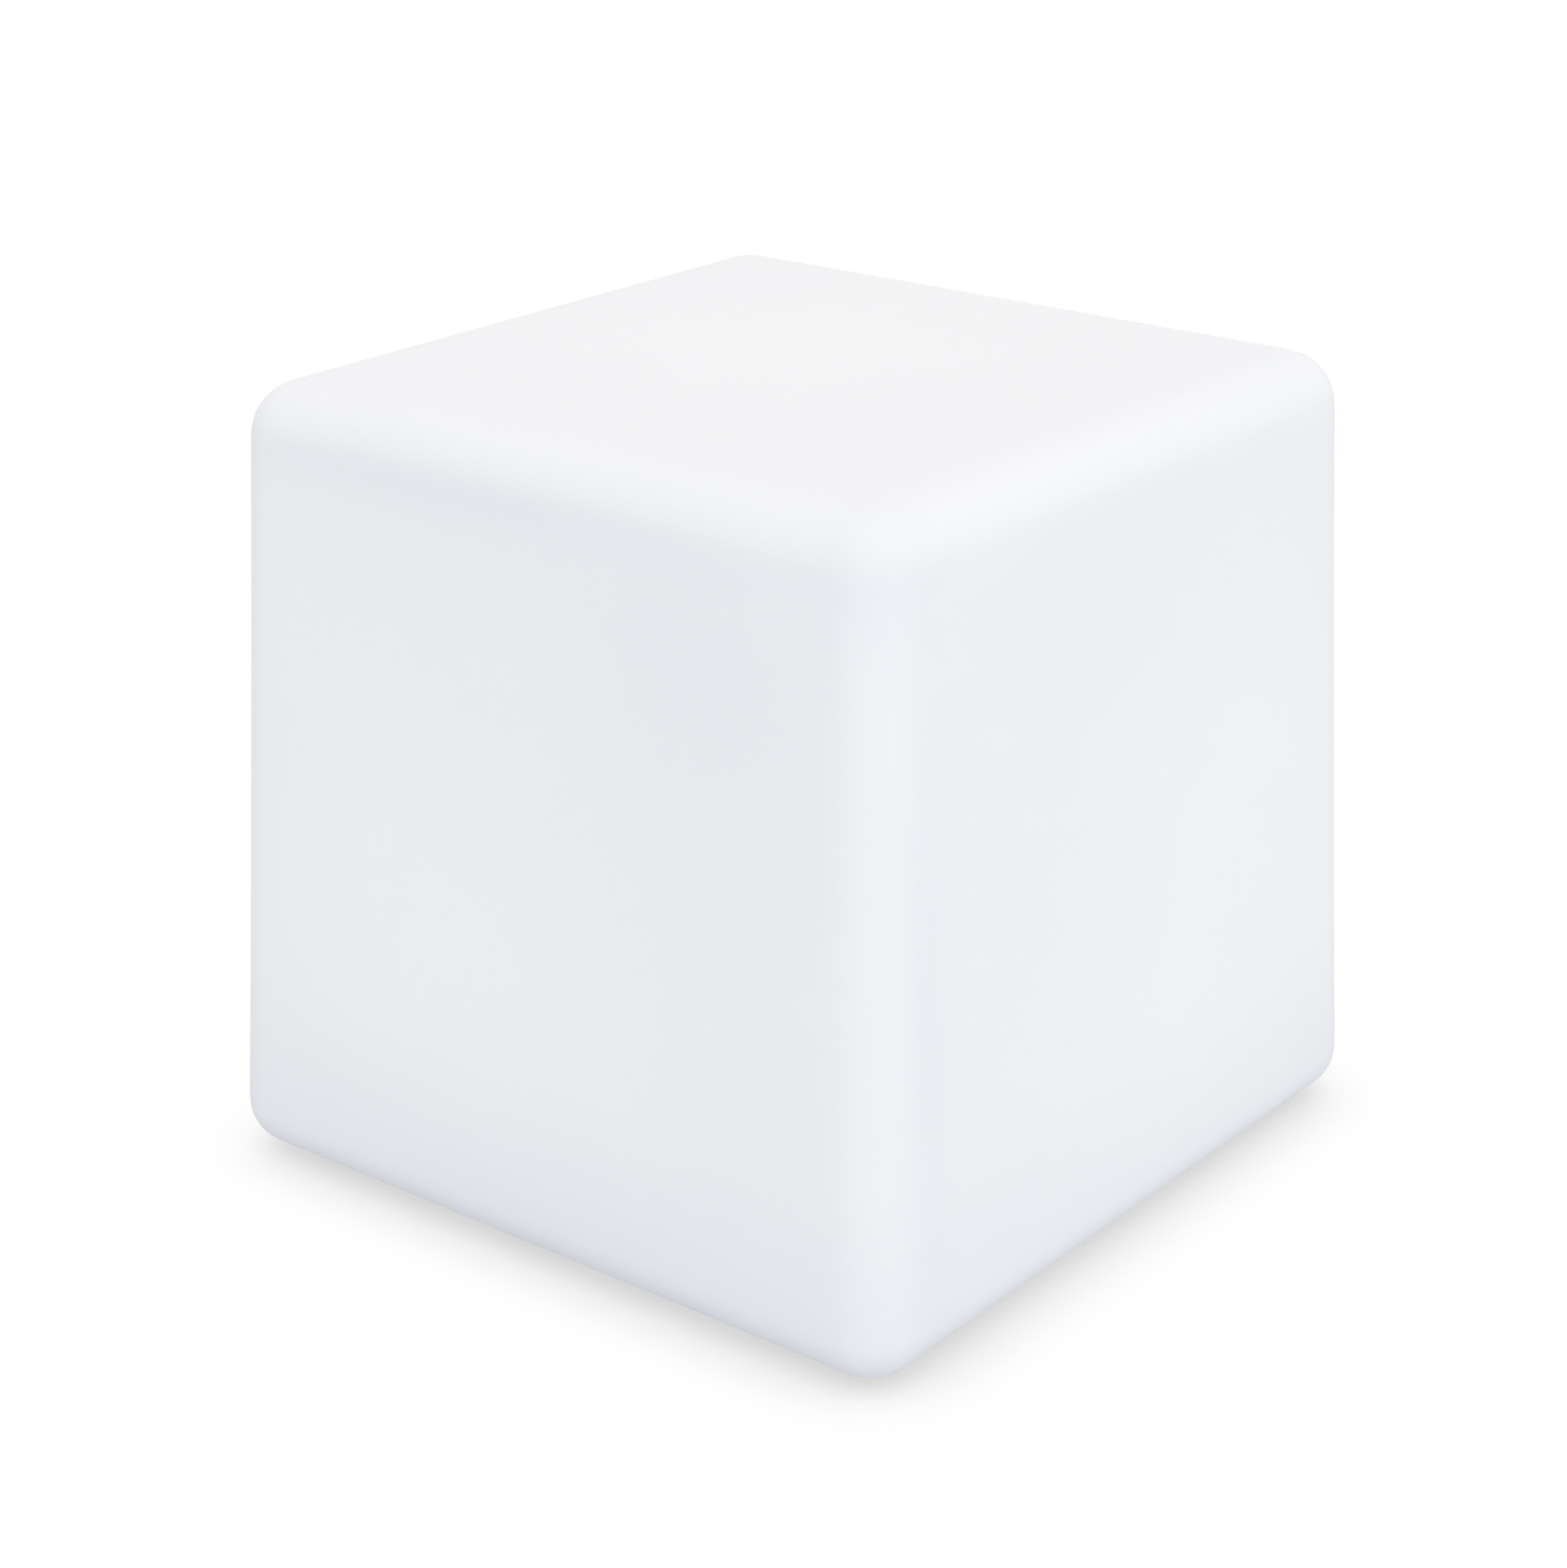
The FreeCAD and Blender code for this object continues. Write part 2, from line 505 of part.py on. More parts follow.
def push_switch():
    """Sealed push switch through the skin of the grip bar, its nut inside, and its button."""
    bore = "(button_radius + button_fit)"
    seat = "(switch_depth - switch_floor)"
    turned("power_switch", [
        (bore, "-bezel_height"), ("bezel_radius", "-bezel_height"), ("bezel_radius", "0"),
        ("switch_barrel", "0"), ("switch_barrel", "switch_depth"), ("0", "switch_depth"), ("0", seat),
        (bore, seat)], ("switch_at", "0", UNIT))
    skirt = "(button_proud + button_skirt)"
    top = f"(button_proud + bezel_height + {seat} - button_travel - button_rest)"
    turned("power_button", [
        ("0", "0"), ("button_radius - button_edge", "0"), ("button_radius", "button_edge"),
        ("button_radius", skirt), ("button_stem", skirt), ("button_stem", top), ("0", top)],
        ("switch_at", "0", f"{UNIT} - bezel_height - button_proud"))
    panel_nut("switch_nut", "nut_across", "switch_barrel", "switch_at")


def panel_nut(label, across, barrel, at):
    item = body(label, (at, "0", f"{UNIT} + unit_wall"))
    drawn = outline(sketch(item, f"{label}_plan"), hexagon(across))
    circles(drawn, f"{barrel} + panel_fit")
    pad(item, drawn, "nut_height")


def charge_socket():
    """Charging socket with its centre pin, through the same skin, and its nut."""
    tip = "(jack_pin_recess - jack_flange_height)"
    depth = "(jack_bore_depth - jack_flange_height)"
    turned("charge_jack", [
        ("0", tip), ("jack_pin", tip), ("jack_pin", depth), ("jack_bore", depth),
        ("jack_bore", "-jack_flange_height"), ("jack_flange", "-jack_flange_height"), ("jack_flange", "0"),
        ("jack_barrel", "0"), ("jack_barrel", "jack_depth"), ("0", "jack_depth")], ("jack_at", "0", UNIT))
    panel_nut("jack_nut", "jack_nut_across", "jack_barrel", "jack_at")


def socket_cap():
    """Rubber cap whose short tapered plug fills the mouth of the socket, and its anchored strap."""
    plug = "(jack_bore - plug_play)"
    cap = turned("charge_cap", [
        ("0", "-cap_thickness"), ("cap_radius - cap_edge", "-cap_thickness"),
        ("cap_radius", "cap_edge - cap_thickness"), ("cap_radius", "0"), (plug, "0"),
        (f"{plug} - plug_taper", "plug_length"), ("0", "plug_length")],
        ("jack_at", "0", f"{UNIT} - jack_flange_height"))
    root = "(cap_radius - tongue_root)"
    tongue_end = "(hinge_offset - strap_gap / 2)"
    tongue = box_corners(f"{tongue_end} - {root}", "strap_width", (f"({tongue_end} + {root}) / 2", "0"))
    pad(cap, outline(sketch(cap, "cap_tongue", "-strap_thickness"), tongue), "strap_thickness")

    strap = body("cap_strap", ("jack_at", "0", UNIT))
    level = "-(jack_flange_height + strap_thickness)"
    start = "(hinge_offset + strap_gap / 2)"
    band = box_corners(f"anchor_offset - {start}", "strap_width", (f"(anchor_offset + {start}) / 2", "0"))
    pad(strap, outline(sketch(strap, "strap_plan", level), band), "strap_thickness")
    spot = [("anchor_offset", "0")]
    pad(strap, circles(sketch(strap, "anchor_disc", level), "anchor_radius", spot),
        "jack_flange_height + strap_thickness")
    pad(strap, circles(sketch(strap, "anchor_pin"), "anchor_stem", spot), "unit_wall")
    pad(strap, circles(sketch(strap, "anchor_head", "unit_wall"), "anchor_stem + anchor_barb", spot),
        "anchor_barb_height")


def charging_light():
    """Light pipe through the skin, up to the small light below the control board."""
    length = f"({BOARD} - indicator_height - pipe_gap - {UNIT})"
    turned("charge_indicator", [
        ("0", "-pipe_lip"), ("pipe_radius + pipe_lip", "-pipe_lip"), ("pipe_radius + pipe_lip", "0"),
        ("pipe_radius", "0"), ("pipe_radius", length), ("0", length)], ("pipe_at", "0", UNIT))
    block("indicator_led", "indicator_size", "indicator_size", "indicator_height",
          ("pipe_at", "0", f"{BOARD} - indicator_height"))


def control_electronics():
    """Board on two posts above the grip bar; its parts stand on a grid of one pitch."""
    holes = opposite_spots(BOARD_HOLE[0], f"-{BOARD_HOLE[1]}")
    board = block("control_board", f"2 * {BOARD_END}", f"2 * {BOARD_SIDE}", "board_thickness",
                  ("0", "0", BOARD))
    dress_edges(board, "Fillet", "board_corner", stands("board_thickness"))
    pocket(board, circles(sketch(board, "board_holes"), "small_screw + screw_fit", holes), "board_thickness")
    screws("board_screws", holes, "small_screw", "board_thickness + pilot_depth - screw_rest", "small_head",
           "small_head_height", BOARD_TOP)
    chips = body("board_chips", ("0", "0", BOARD_TOP))
    drawn = outline(sketch(chips, "chip_plan"), box_corners("chip_size", "chip_size",
                                                             ("part_pitch", "part_pitch / 2")))
    outline(drawn, box_corners("small_chip_size", "small_chip_size", ("-part_pitch", "-1.25 * part_pitch")))
    pad(chips, drawn, "chip_height")
    waist = "(coil_radius - coil_waist)"
    turned("power_inductor", [
        ("0", "0"), ("coil_radius", "0"), ("coil_radius", "coil_plate"), (waist, "coil_plate"),
        (waist, "coil_height - coil_plate"), ("coil_radius", "coil_height - coil_plate"),
        ("coil_radius", "coil_height"), ("0", "coil_height")],
        ("-part_pitch", "0.75 * part_pitch", BOARD_TOP))
    cans = body("smoothing_capacitors", ("0", "0", BOARD_TOP))
    pad(cans, circles(sketch(cans, "capacitor_plan"), "capacitor_radius",
                      [(f"{column} * part_pitch", "-1.25 * part_pitch") for column in (1, 2)]),
        "capacitor_height")
    plugs = body("lead_connectors", ("0", "0", BOARD_TOP))
    drawn = sketch(plugs, "connector_plan")
    for side in ("", "-"):
        centre = f"{side}({BOARD_END} - connector_length / 2)"
        outline(drawn, box_corners("connector_length", "connector_width", (centre, "0")))
    pad(plugs, drawn, "connector_height")


def battery_tray():
    """Tray with two troughs for the cells, screwed to two posts by an ear at each end."""
    tray = block("battery_tray", f"2 * {TRAY_HALF}", f"2 * {TRAY_SIDE}", "tray_height", ("0", "0", TRAY))
    holes = opposite_spots(*TRAY_HOLE)
    ear_reach = f"({TRAY_HOLE[1]} + tray_ear / 2)"
    drawn = sketch(tray, "tray_ears")
    for side in ("", "-"):
        centre = (f"{side}{TRAY_HOLE[0]}", f"{side}({ear_reach} + cell_pitch) / 2")
        outline(drawn, box_corners("tray_ear", f"{ear_reach} - cell_pitch", centre))
    pad(tray, drawn, "tray_floor")
    dress_edges(tray, "Fillet", "tray_ear_corner", stands("tray_floor", TRAY_HOLE[1]))
    pocket(tray, circles(sketch(tray, "tray_holes"), "small_screw + screw_fit", holes), "tray_floor")
    trough = sketch(tray, "cell_troughs", f"tray_wall - {TRAY_HALF}", "YZ_Plane")
    axis = "tray_floor + cell_fit + cell_radius"
    circles(trough, "cell_radius + cell_fit", [("cell_pitch / 2", axis), ("-cell_pitch / 2", axis)])
    pocket(tray, trough, f"2 * ({TRAY_HALF} - tray_wall)")
    screws("tray_screws", holes, "small_screw", "tray_floor + pilot_depth - screw_rest", "small_head",
           "small_head_height", f"{TRAY} + tray_floor")


def battery_cells():
    """Two cells end for end, with the link that joins them and the two tabs for the lead."""
    for side, back, can_at, nub_at in (
            ("left", "", f"-{CELL_HALF}", f"{CELL_HALF} - terminal_height"),
            ("right", "-", f"terminal_height - {CELL_HALF}", f"-{CELL_HALF}")):
        cell = body(f"battery_cell_{side}", ("0", f"{back}cell_pitch / 2", CELL_AXIS))
        pad(cell, circles(sketch(cell, f"can_{side}", can_at, "YZ_Plane"), "cell_radius"), "cell_length")
        pad(cell, circles(sketch(cell, f"nub_{side}", nub_at, "YZ_Plane"), "terminal_radius"),
            "terminal_height")
    links = body("cell_links", ("0", "0", CELL_AXIS))
    joined = outline(sketch(links, "joining_link", CELL_HALF, "YZ_Plane"),
                     box_corners("cell_pitch + link_width", "link_width"))
    pad(links, joined, "link_thickness")
    tabs = sketch(links, "end_tabs", f"-{CELL_HALF} - link_thickness", "YZ_Plane")
    for side in ("", "-"):
        outline(tabs, box_corners("tab_length", "link_width", (f"{side}(tab_length + tab_gap) / 2", "0")))
    pad(links, tabs, "link_thickness")


def battery_strap():
    """Band over both cells, down to the rims of the tray."""
    band = body("battery_strap", ("0", "0", CELL_AXIS))
    drawn = sketch(band, "band_profile", "-band_width / 2", "YZ_Plane")
    inner = "(cell_radius + cell_fit)"
    outer = f"({inner} + band_skin)"
    half = "cell_pitch / 2"
    foot = f"(tray_height - tray_floor - {inner})"
    outline(drawn, [(f"{half} + {inner}", foot), (f"{half} + {outer}", foot), (f"{half} + {outer}", "0"),
                    (half, outer, outer), (f"-{half}", outer), (f"-{half} - {outer}", "0", outer),
                    (f"-{half} - {outer}", foot), (f"-{half} - {inner}", foot), (f"-{half} - {inner}", "0"),
                    (f"-{half}", inner, f"-{inner}"), (half, inner), (f"{half} + {inner}", "0", f"-{inner}")])
    pad(band, drawn, "band_width")


def light_boards():
    """Heat spreader on three towers, flush with the rim, and the light board on top of it."""
    slot = box_corners("ribbon_thickness + 2 * ribbon_fit", "ribbon_width + 2 * ribbon_fit",
                       (LED_LEAD_AT, "0"))
    for label, radius, thickness, level in (("led_plate", PLATE_RADIUS, "plate_thickness", PLATE),
                                            ("led_board", LED_BOARD_RADIUS, "board_thickness", UNIT_RIM)):
        disc = body(label, ("0", "0", level))
        pad(disc, circles(sketch(disc, f"{label}_plan"), radius), thickness)
        pocket(disc, outline(sketch(disc, f"{label}_slot"), slot), thickness)
        if label == "led_plate":
            hole = circles(sketch(disc, "plate_hole"), "small_screw + screw_fit", [tower_spot()])
            polar(disc, [pocket(disc, hole, thickness)], "tower_count")
    leds = body("leds", ("0", "0", LED_FACE))
    outer_circle = f"({LED_BOARD_RADIUS} - led_margin)"
    for name, circle, count in (("outer_led", outer_circle, "outer_led_count"),
                                ("inner_led", f"({outer_circle} - led_pitch)", "inner_led_count")):
        drawn = outline(sketch(leds, name), box_corners("led_size", "led_size", (circle, "0")))
        polar(leds, [pad(leds, drawn, "led_height")], count)
    receiver = block("remote_receiver", "receiver_width", "receiver_depth", "receiver_height",
                     ("0", "0", LED_FACE))
    dress_edges(receiver, "Fillet", "receiver_edge", lies_at("receiver_height"))


def lens_dome():
    """Diffusing dome: its lip presses the heat spreader on its towers, its flange seals on the rim."""
    flat_ring("dome_gasket", BARREL_RADIUS, BARREL_BORE, "dome_gasket", UNIT_RIM)
    mouth = f"({DOME_RADIUS} - dome_wall)"
    crown = "(dome_height - dome_wall)"
    bulge = f"(dome_height - {DOME_SEAT})"
    outer = f"(({DOME_RADIUS} ^ 2 + {bulge} ^ 2) / (2 * {bulge}))"
    inner = f"(({mouth} ^ 2 + {crown} ^ 2) / (2 * {crown}))"
    dome = turned("lens_dome", [
        (mouth, "0", f"-{inner}"), (PLATE_RADIUS, "0"), (PLATE_RADIUS, "dome_gasket"),
        (BARREL_RADIUS, "dome_gasket"), (BARREL_RADIUS, DOME_SEAT), (DOME_RADIUS, DOME_SEAT),
        ("0", "dome_height", outer), ("0", crown)], ("0", "0", UNIT_RIM))
    hole = circles(sketch(dome, "dome_hole"), "small_screw + screw_fit", [tower_spot()])
    polar(dome, [pocket(dome, hole, DOME_SEAT)], "tower_count")
    screws("dome_screws", [tower_spot()], "small_screw", "dome_screw_length", "small_head",
           "small_head_height", f"{UNIT_RIM} + {DOME_SEAT}", count="tower_count")


def bent_ribbon(route):
    """A flat lead along straight runs, joined by tangent arcs as large as the runs allow."""
    points = [FreeCAD.Vector(*(num(text) for text in point)) for point in route]
    edges = []
    start = points[0]
    last = len(points) - 2
    for index in range(1, len(points) - 1):
        into = points[index] - points[index - 1]
        out = points[index + 1] - points[index]
        turn = into.getAngle(out)
        setback = min(into.Length * (END_SHARE if index == 1 else INNER_SHARE),
                      out.Length * (END_SHARE if index == last else INNER_SHARE))
        entry = points[index] - into.normalize() * setback
        leave = points[index] + out.normalize() * setback
        bend = setback / math.tan(turn / 2)
        inward = ((entry + leave) / 2 - points[index]).normalize()
        crown = points[index] + inward * (bend / math.cos(turn / 2) - bend)
        edges += [Part.LineSegment(start, entry).toShape(), Part.Arc(entry, crown, leave).toShape()]
        start = leave
    edges.append(Part.LineSegment(start, points[-1]).toShape())
    path = Part.Wire(edges)
    width = num("ribbon_width")
    thickness = num("ribbon_thickness")
    corners = [points[0] + FreeCAD.Vector(0, side * width / 2, rise * thickness / 2)
               for side, rise in ((-1, -1), (1, -1), (1, 1), (-1, 1), (-1, -1))]
    solid = path.makePipeShell([Part.makePolygon(corners)], True, False)
    expected = width * thickness * path.Length
    if abs(solid.Volume - expected) > 0.01 * expected:
        raise ValueError("a lead has the wrong volume")
    return solid


def leads():
    """Board to lights, battery to board, and the short leads down to the socket and the switch."""
    loop = f"-({TRAY_HALF} + battery_lead_loop)"
    for label, route in (
            ("led_lead", [(BOARD_END, "0", LEAD_LEVEL), (LED_LEAD_AT, "0", LEAD_LEVEL),
                          (LED_LEAD_AT, "0", f"{LED_FACE} + ribbon_end")]),
            ("battery_lead", [(f"-{BOARD_END}", "0", LEAD_LEVEL), (loop, "0", LEAD_LEVEL),
                              (loop, "0", CELL_AXIS), (f"-({CELL_HALF} + link_thickness)", "0", CELL_AXIS)])):
        item = doc.addObject("Part::Feature", label)
        item.Label = label
        item.Shape = bent_ribbon(route)
        PARTS.append(item)
    for label, at, depth in (("jack_leads", "jack_at", "jack_depth"),
                             ("switch_leads", "switch_at", "switch_depth")):
        block(label, "ribbon_thickness", "ribbon_width", f"{BOARD} - {UNIT} - {depth}",
              (at, "0", f"{UNIT} + {depth}"))


cube_shell()
feet()
ring_inserts()
flat_ring("ring_gasket", GASKET_RADIUS, NECK_RADIUS, "gasket_thickness", RING_TOP)
bayonet_ring()
screws("ring_screws", [(INSERT_CIRCLE, "0")], "ring_screw", "ring_screw_length", "ring_head",
       "ring_head_height", RING, upward=True, count="insert_count")
unit_housing()
flat_ring("twist_seal", SEAL_OUTER, SEAL_INNER, "seal_groove + flange_gap",
          f"{UNIT_FLANGE_TOP} - seal_groove")
push_switch()
charge_socket()
socket_cap()
charging_light()
control_electronics()
battery_tray()
battery_cells()
battery_strap()
light_boards()
lens_dome()
leads()
doc.recompute()

for item in doc.Objects:
    if "Invalid" in item.State or "Error" in item.State:
        raise ValueError(f"{item.Label}: {item.State}")
for item in PARTS:
    if item.Shape.isNull() or not item.Shape.isValid():
        raise ValueError(f"{item.Label} has no valid shape")

os.makedirs("parts", exist_ok=True)
for item in PARTS:
    item.Shape.exportStep(f"parts/{item.Label}.step")
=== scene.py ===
import math

import bpy
from bpy.props import FloatProperty, FloatVectorProperty, PointerProperty
from mathutils import Matrix, Vector


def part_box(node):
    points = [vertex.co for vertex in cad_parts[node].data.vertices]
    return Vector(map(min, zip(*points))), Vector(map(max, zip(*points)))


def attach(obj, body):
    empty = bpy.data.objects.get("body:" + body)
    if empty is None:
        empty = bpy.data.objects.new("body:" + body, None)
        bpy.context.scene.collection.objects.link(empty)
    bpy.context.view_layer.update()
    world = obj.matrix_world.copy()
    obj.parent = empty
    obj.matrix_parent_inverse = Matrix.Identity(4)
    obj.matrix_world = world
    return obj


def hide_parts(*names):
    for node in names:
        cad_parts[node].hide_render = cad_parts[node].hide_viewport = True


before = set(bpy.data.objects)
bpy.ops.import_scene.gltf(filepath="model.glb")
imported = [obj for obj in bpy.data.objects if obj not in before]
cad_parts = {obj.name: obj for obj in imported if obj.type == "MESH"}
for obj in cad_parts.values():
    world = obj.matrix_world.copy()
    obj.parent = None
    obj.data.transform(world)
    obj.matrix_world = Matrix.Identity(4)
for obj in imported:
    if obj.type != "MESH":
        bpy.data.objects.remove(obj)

bl_info = {
    "name": "LED Cube Light",
    "version": (1, 0, 0),
    "blender": (4, 5, 0),
    "location": "3D View > Sidebar > Cube Light",
    "description": "Models and finishes the moulded cube, its twist-out light unit and a plain studio",
    "category": "Add Mesh",
}

# Outlines and places are written in millimetres, and the helpers turn them into Blender's metres.
# Settings, the boxes that the frame gives and the sizes of patterns in materials are in metres.
MM = 0.001
FULL_TURN = 2 * math.pi
# Points closer than this are merged into one
WELD = 0.000002
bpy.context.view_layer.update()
SHELL_LOW, SHELL_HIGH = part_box("cube_shell")

# Levels above the standing surface
BOARD_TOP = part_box("control_board")[1].z / MM
UNIT_FACE = 8.7
RING_FACE = 12.5
CELL_LEVEL = 50
LIGHT_SEAT = 64.8
DOME_SEAT = 66.7

# Places seen from above
SWITCH_SPOT = (25, 0)
SOCKET_SPOT = (-28, 0)
PIPE_SPOT = (4, 0)
CELL_ASIDE = 9.6
RING_SPOTS = [(80, 0), (0, 80), (-80, 0), (0, -80)]
FOOT_SPOTS = [(x * 150, y * 150) for x in (-1, 1) for y in (-1, 1)]
TOWER_SPOTS = [(53 * math.cos(math.radians(turn)), 53 * math.sin(math.radians(turn)))
               for turn in (30, 150, 270)]

# Colours that more than one material has
BLACK_NYLON = (0.035, 0.035, 0.04)
NICKEL = (0.72, 0.71, 0.68)
TIN = (0.75, 0.75, 0.73)

# Painted light and painted shade on the skin: paler patches of painted light on the sides and the top,
# and darker patches of painted shade on the front side, along its top edge, at the top front corner,
# beside the front upright edge and near the base:
# centre, reach and change of tone
PAINTED_LIGHT_SPOTS = (
    ((-0.055, -0.195, 0.15), (0.28, 0.28, 0.28), 0.3),
    ((0.195, 0.085, 0.14), (0.3, 0.3, 0.3), 0.42),
    ((-0.195, -0.07, 0.14), (0.28, 0.28, 0.28), 0.3),
    ((0.07, 0.195, 0.14), (0.28, 0.28, 0.28), 0.3),
    ((-0.03, 0.04, 0.383), (0.24, 0.24, 0.24), 0.2),
    ((0.1, -0.197, 0.3), (0.15, 0.15, 0.15), -0.22),
    ((-0.06, -0.196, 0.362), (0.34, 0.04, 0.035), -0.65),
    ((0.19, -0.19, 0.37), (0.07, 0.07, 0.07), -0.6),
    ((0.197, -0.16, 0.17), (0.035, 0.035, 0.26), -0.3),
    ((0, -0.2, 0.03), (0.35, 0.06, 0.08), -0.25))


# Sizes and colours that a user would change

def length(name, description, default):
    return FloatProperty(name=name, description=description, default=default, unit="LENGTH", precision=5)


def angle(name, description, default):
    return FloatProperty(name=name, description=description, default=default, subtype="ANGLE")


def number(name, description, default):
    return FloatProperty(name=name, description=description, default=default)


def colour(name, description, default):
    return FloatVectorProperty(name=name, description=description, default=default,
                               subtype="COLOR", min=0, max=1)


class ShellSettings(bpy.types.PropertyGroup):
    base_width: length("Base width", "Width between the side planes where they meet the base", 0.4)
    draft: angle("Draft", "Lean of each side from upright", math.radians(2.43))
    edge_radius: length("Edge radius", "Rounding of the four upright edges", 0.026)
    top_radius: length("Top radius", "Rounding of the edges round the top", 0.024)
    base_radius: length("Base radius", "Rounding of the edges round the base", 0.0245)
    wall: length("Wall", "Thickness of the moulded skin", 0.004)
    side_dish: length("Side dish", "How far the middle of each side sinks as the moulding cools", 0.0045)
    side_bow: length("Side bow", "How far the upright edges draw in at half their height", 0.0003)
    top_dish: length("Top dish", "How far the middle of the top sinks as the moulding cools", 0.002)
    skin: colour("Skin", "Milky polyethylene", (0.872, 0.872, 0.887))
    rubber: colour("Rubber", "Feet", (0.03, 0.03, 0.032))


class UnitSettings(bpy.types.PropertyGroup):
    housing: colour("Housing", "Moulded ring and housing of the light unit", (0.78, 0.79, 0.80))
    seal: colour("Seals", "Silicone of the seals, the strap and the cap", (0.33, 0.34, 0.36))
    button: colour("Button", "Push button", (0.27, 0.29, 0.31))
    mark_height: length("Mark height", "How far the moulded marks stand out", 0.0006)
    board: colour("Board", "Solder mask of the control board", (0.02, 0.19, 0.08))
    cell: colour("Cells", "Sleeve of the battery cells", (0.04, 0.17, 0.5))


class StudioSettings(bpy.types.PropertyGroup):
    camera_place: FloatVectorProperty(name="Camera", description="Where the camera stands",
                                      default=(0.9333, -1.1902, 0.7754), subtype="TRANSLATION")
    camera_line: FloatVectorProperty(name="Line of sight", description="Direction that the camera faces",
                                     default=(-0.57778, 0.72856, -0.36793), subtype="DIRECTION")
    camera_roll: angle("Roll", "Turn of the camera about its line of sight", -0.00116)
    lens: number("Lens", "Focal length in millimetres", 77.88)
    sky: number("Sky", "Level of the even light from all round", 0.945)
    key: number("Key lamp", "Power of the large soft lamp", 21.0)
    side: number("Side lamp", "Power of the soft lamp at the right", 8.0)
    floor: colour("Floor", "Pale paper floor", (0.772, 0.802, 0.848))
    contact_reach: length("Contact shadow", "Reach of the soft shadow round the foot of the cube", 0.045)


# Modelling by hand: one piece at a time, its parts picked by place or normal

def only(piece):
    """Leave one piece selected and active, in object mode."""
    if bpy.context.mode != "OBJECT":
        bpy.ops.object.mode_set(mode="OBJECT")
    bpy.ops.object.select_all(action="DESELECT")
    bpy.context.view_layer.objects.active = piece
    piece.select_set(True)


def pick(piece, kind, test):
    """Select the faces that pass the test, or the edges whose ends do, and stay in edit mode."""
    only(piece)
    bpy.ops.object.mode_set(mode="EDIT")
    bpy.ops.mesh.select_mode(type=kind)
    bpy.ops.mesh.select_all(action="DESELECT")
    bpy.ops.object.mode_set(mode="OBJECT")
    mesh = piece.data
    if kind == "FACE":
        items = mesh.polygons
        wanted = [test(face) for face in items]
    else:
        items = mesh.edges
        wanted = [test(*[mesh.vertices[index].co for index in edge.vertices]) for edge in items]
    if not any(wanted):
        raise RuntimeError(f"{piece.name}: nothing there to pick")
    items.foreach_set("select", wanted)
    bpy.ops.object.mode_set(mode="EDIT")


def whole(piece):
    """Select all of a piece in edit mode."""
    only(piece)
    bpy.ops.object.mode_set(mode="EDIT")
    bpy.ops.mesh.select_mode(type="VERT")
    bpy.ops.mesh.select_all(action="SELECT")


def settle(piece):
    """Put the piece's place, turn and size into its mesh."""
    only(piece)
    bpy.ops.object.transform_apply(location=True, rotation=True, scale=True)
    return piece


def metres(spot):
    """A place given in millimetres."""
    return Vector([number * MM for number in spot])


def box_of(solid):
    """Two opposite corners of a solid of the frame, in millimetres."""
    return [[number / MM for number in corner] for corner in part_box(solid)]


def middle_of(solid):
    """Where the middle of a solid of the frame is, seen from above, in millimetres."""
    low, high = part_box(solid)
    middle = (low + high) / 2
    return middle.x / MM, middle.y / MM


def added(name, primitive, **settings):
    """A new primitive under its own name, with its place and size in its mesh."""
    bpy.ops.object.select_all(action="DESELECT")
    primitive(**settings)
    piece = bpy.context.object
    piece.name = piece.data.name = name
    return settle(piece)


def tidy(piece):
    """Merge doubles, clear loose edges and turn every face outwards."""
    whole(piece)
    bpy.ops.mesh.remove_doubles(threshold=WELD)
    bpy.ops.mesh.delete_loose(use_verts=True, use_edges=True, use_faces=False)
    bpy.ops.mesh.select_all(action="SELECT")
    bpy.ops.mesh.normals_make_consistent(inside=False)
    only(piece)
    return piece


def modifier(piece, kind, name, **settings):
    """Add a modifier, set it and apply it."""
    only(piece)
    new = piece.modifiers.new(name, kind)
    for key, value in settings.items():
        setattr(new, key, value)
    bpy.ops.object.modifier_apply(modifier=new.name)
    return piece


def smooth(piece, sharpest=32):
    """Shade a piece smooth, with its flat faces left flat right up to their rounded edges."""
    only(piece)
    bpy.ops.object.shade_smooth_by_angle(angle=math.radians(sharpest))
    return modifier(piece, "WEIGHTED_NORMAL", "flat faces", mode="FACE_AREA", weight=80, keep_sharp=True)


def soften(piece, width, segments=2, sharpest=30):
    """Round the sharp edges of a piece, by a width in millimetres, and shade it smooth."""
    modifier(piece, "BEVEL", "soft edges", width=width * MM, segments=segments, limit_method="ANGLE",
             angle_limit=math.radians(sharpest), use_clamp_overlap=True)
    return smooth(piece)


def cut(piece, cutter, operation="DIFFERENCE"):
    """Cut one piece by another, or weld the other onto it, and clear the other away."""
    modifier(piece, "BOOLEAN", "cut", operation=operation, object=cutter, solver="EXACT")
    bpy.data.objects.remove(cutter, do_unlink=True)
    return piece


def block(name, low, high):
    """A box between two corners."""
    low = metres(low)
    high = metres(high)
    return added(name, bpy.ops.mesh.primitive_cube_add, size=1, location=(low + high) / 2,
                 scale=high - low)


def slab(name, reach, low, high):
    """A box over the origin, that far to each side, between two levels."""
    return block(name, (-reach[0], -reach[1], low), (*reach, high))


def rod(name, radius, low, high, centre=(0, 0), sides=48):
    """An upright round bar between two levels."""
    return added(name, bpy.ops.mesh.primitive_cylinder_add, vertices=sides, radius=radius * MM,
                 depth=(high - low) * MM, location=metres((*centre, (low + high) / 2)))


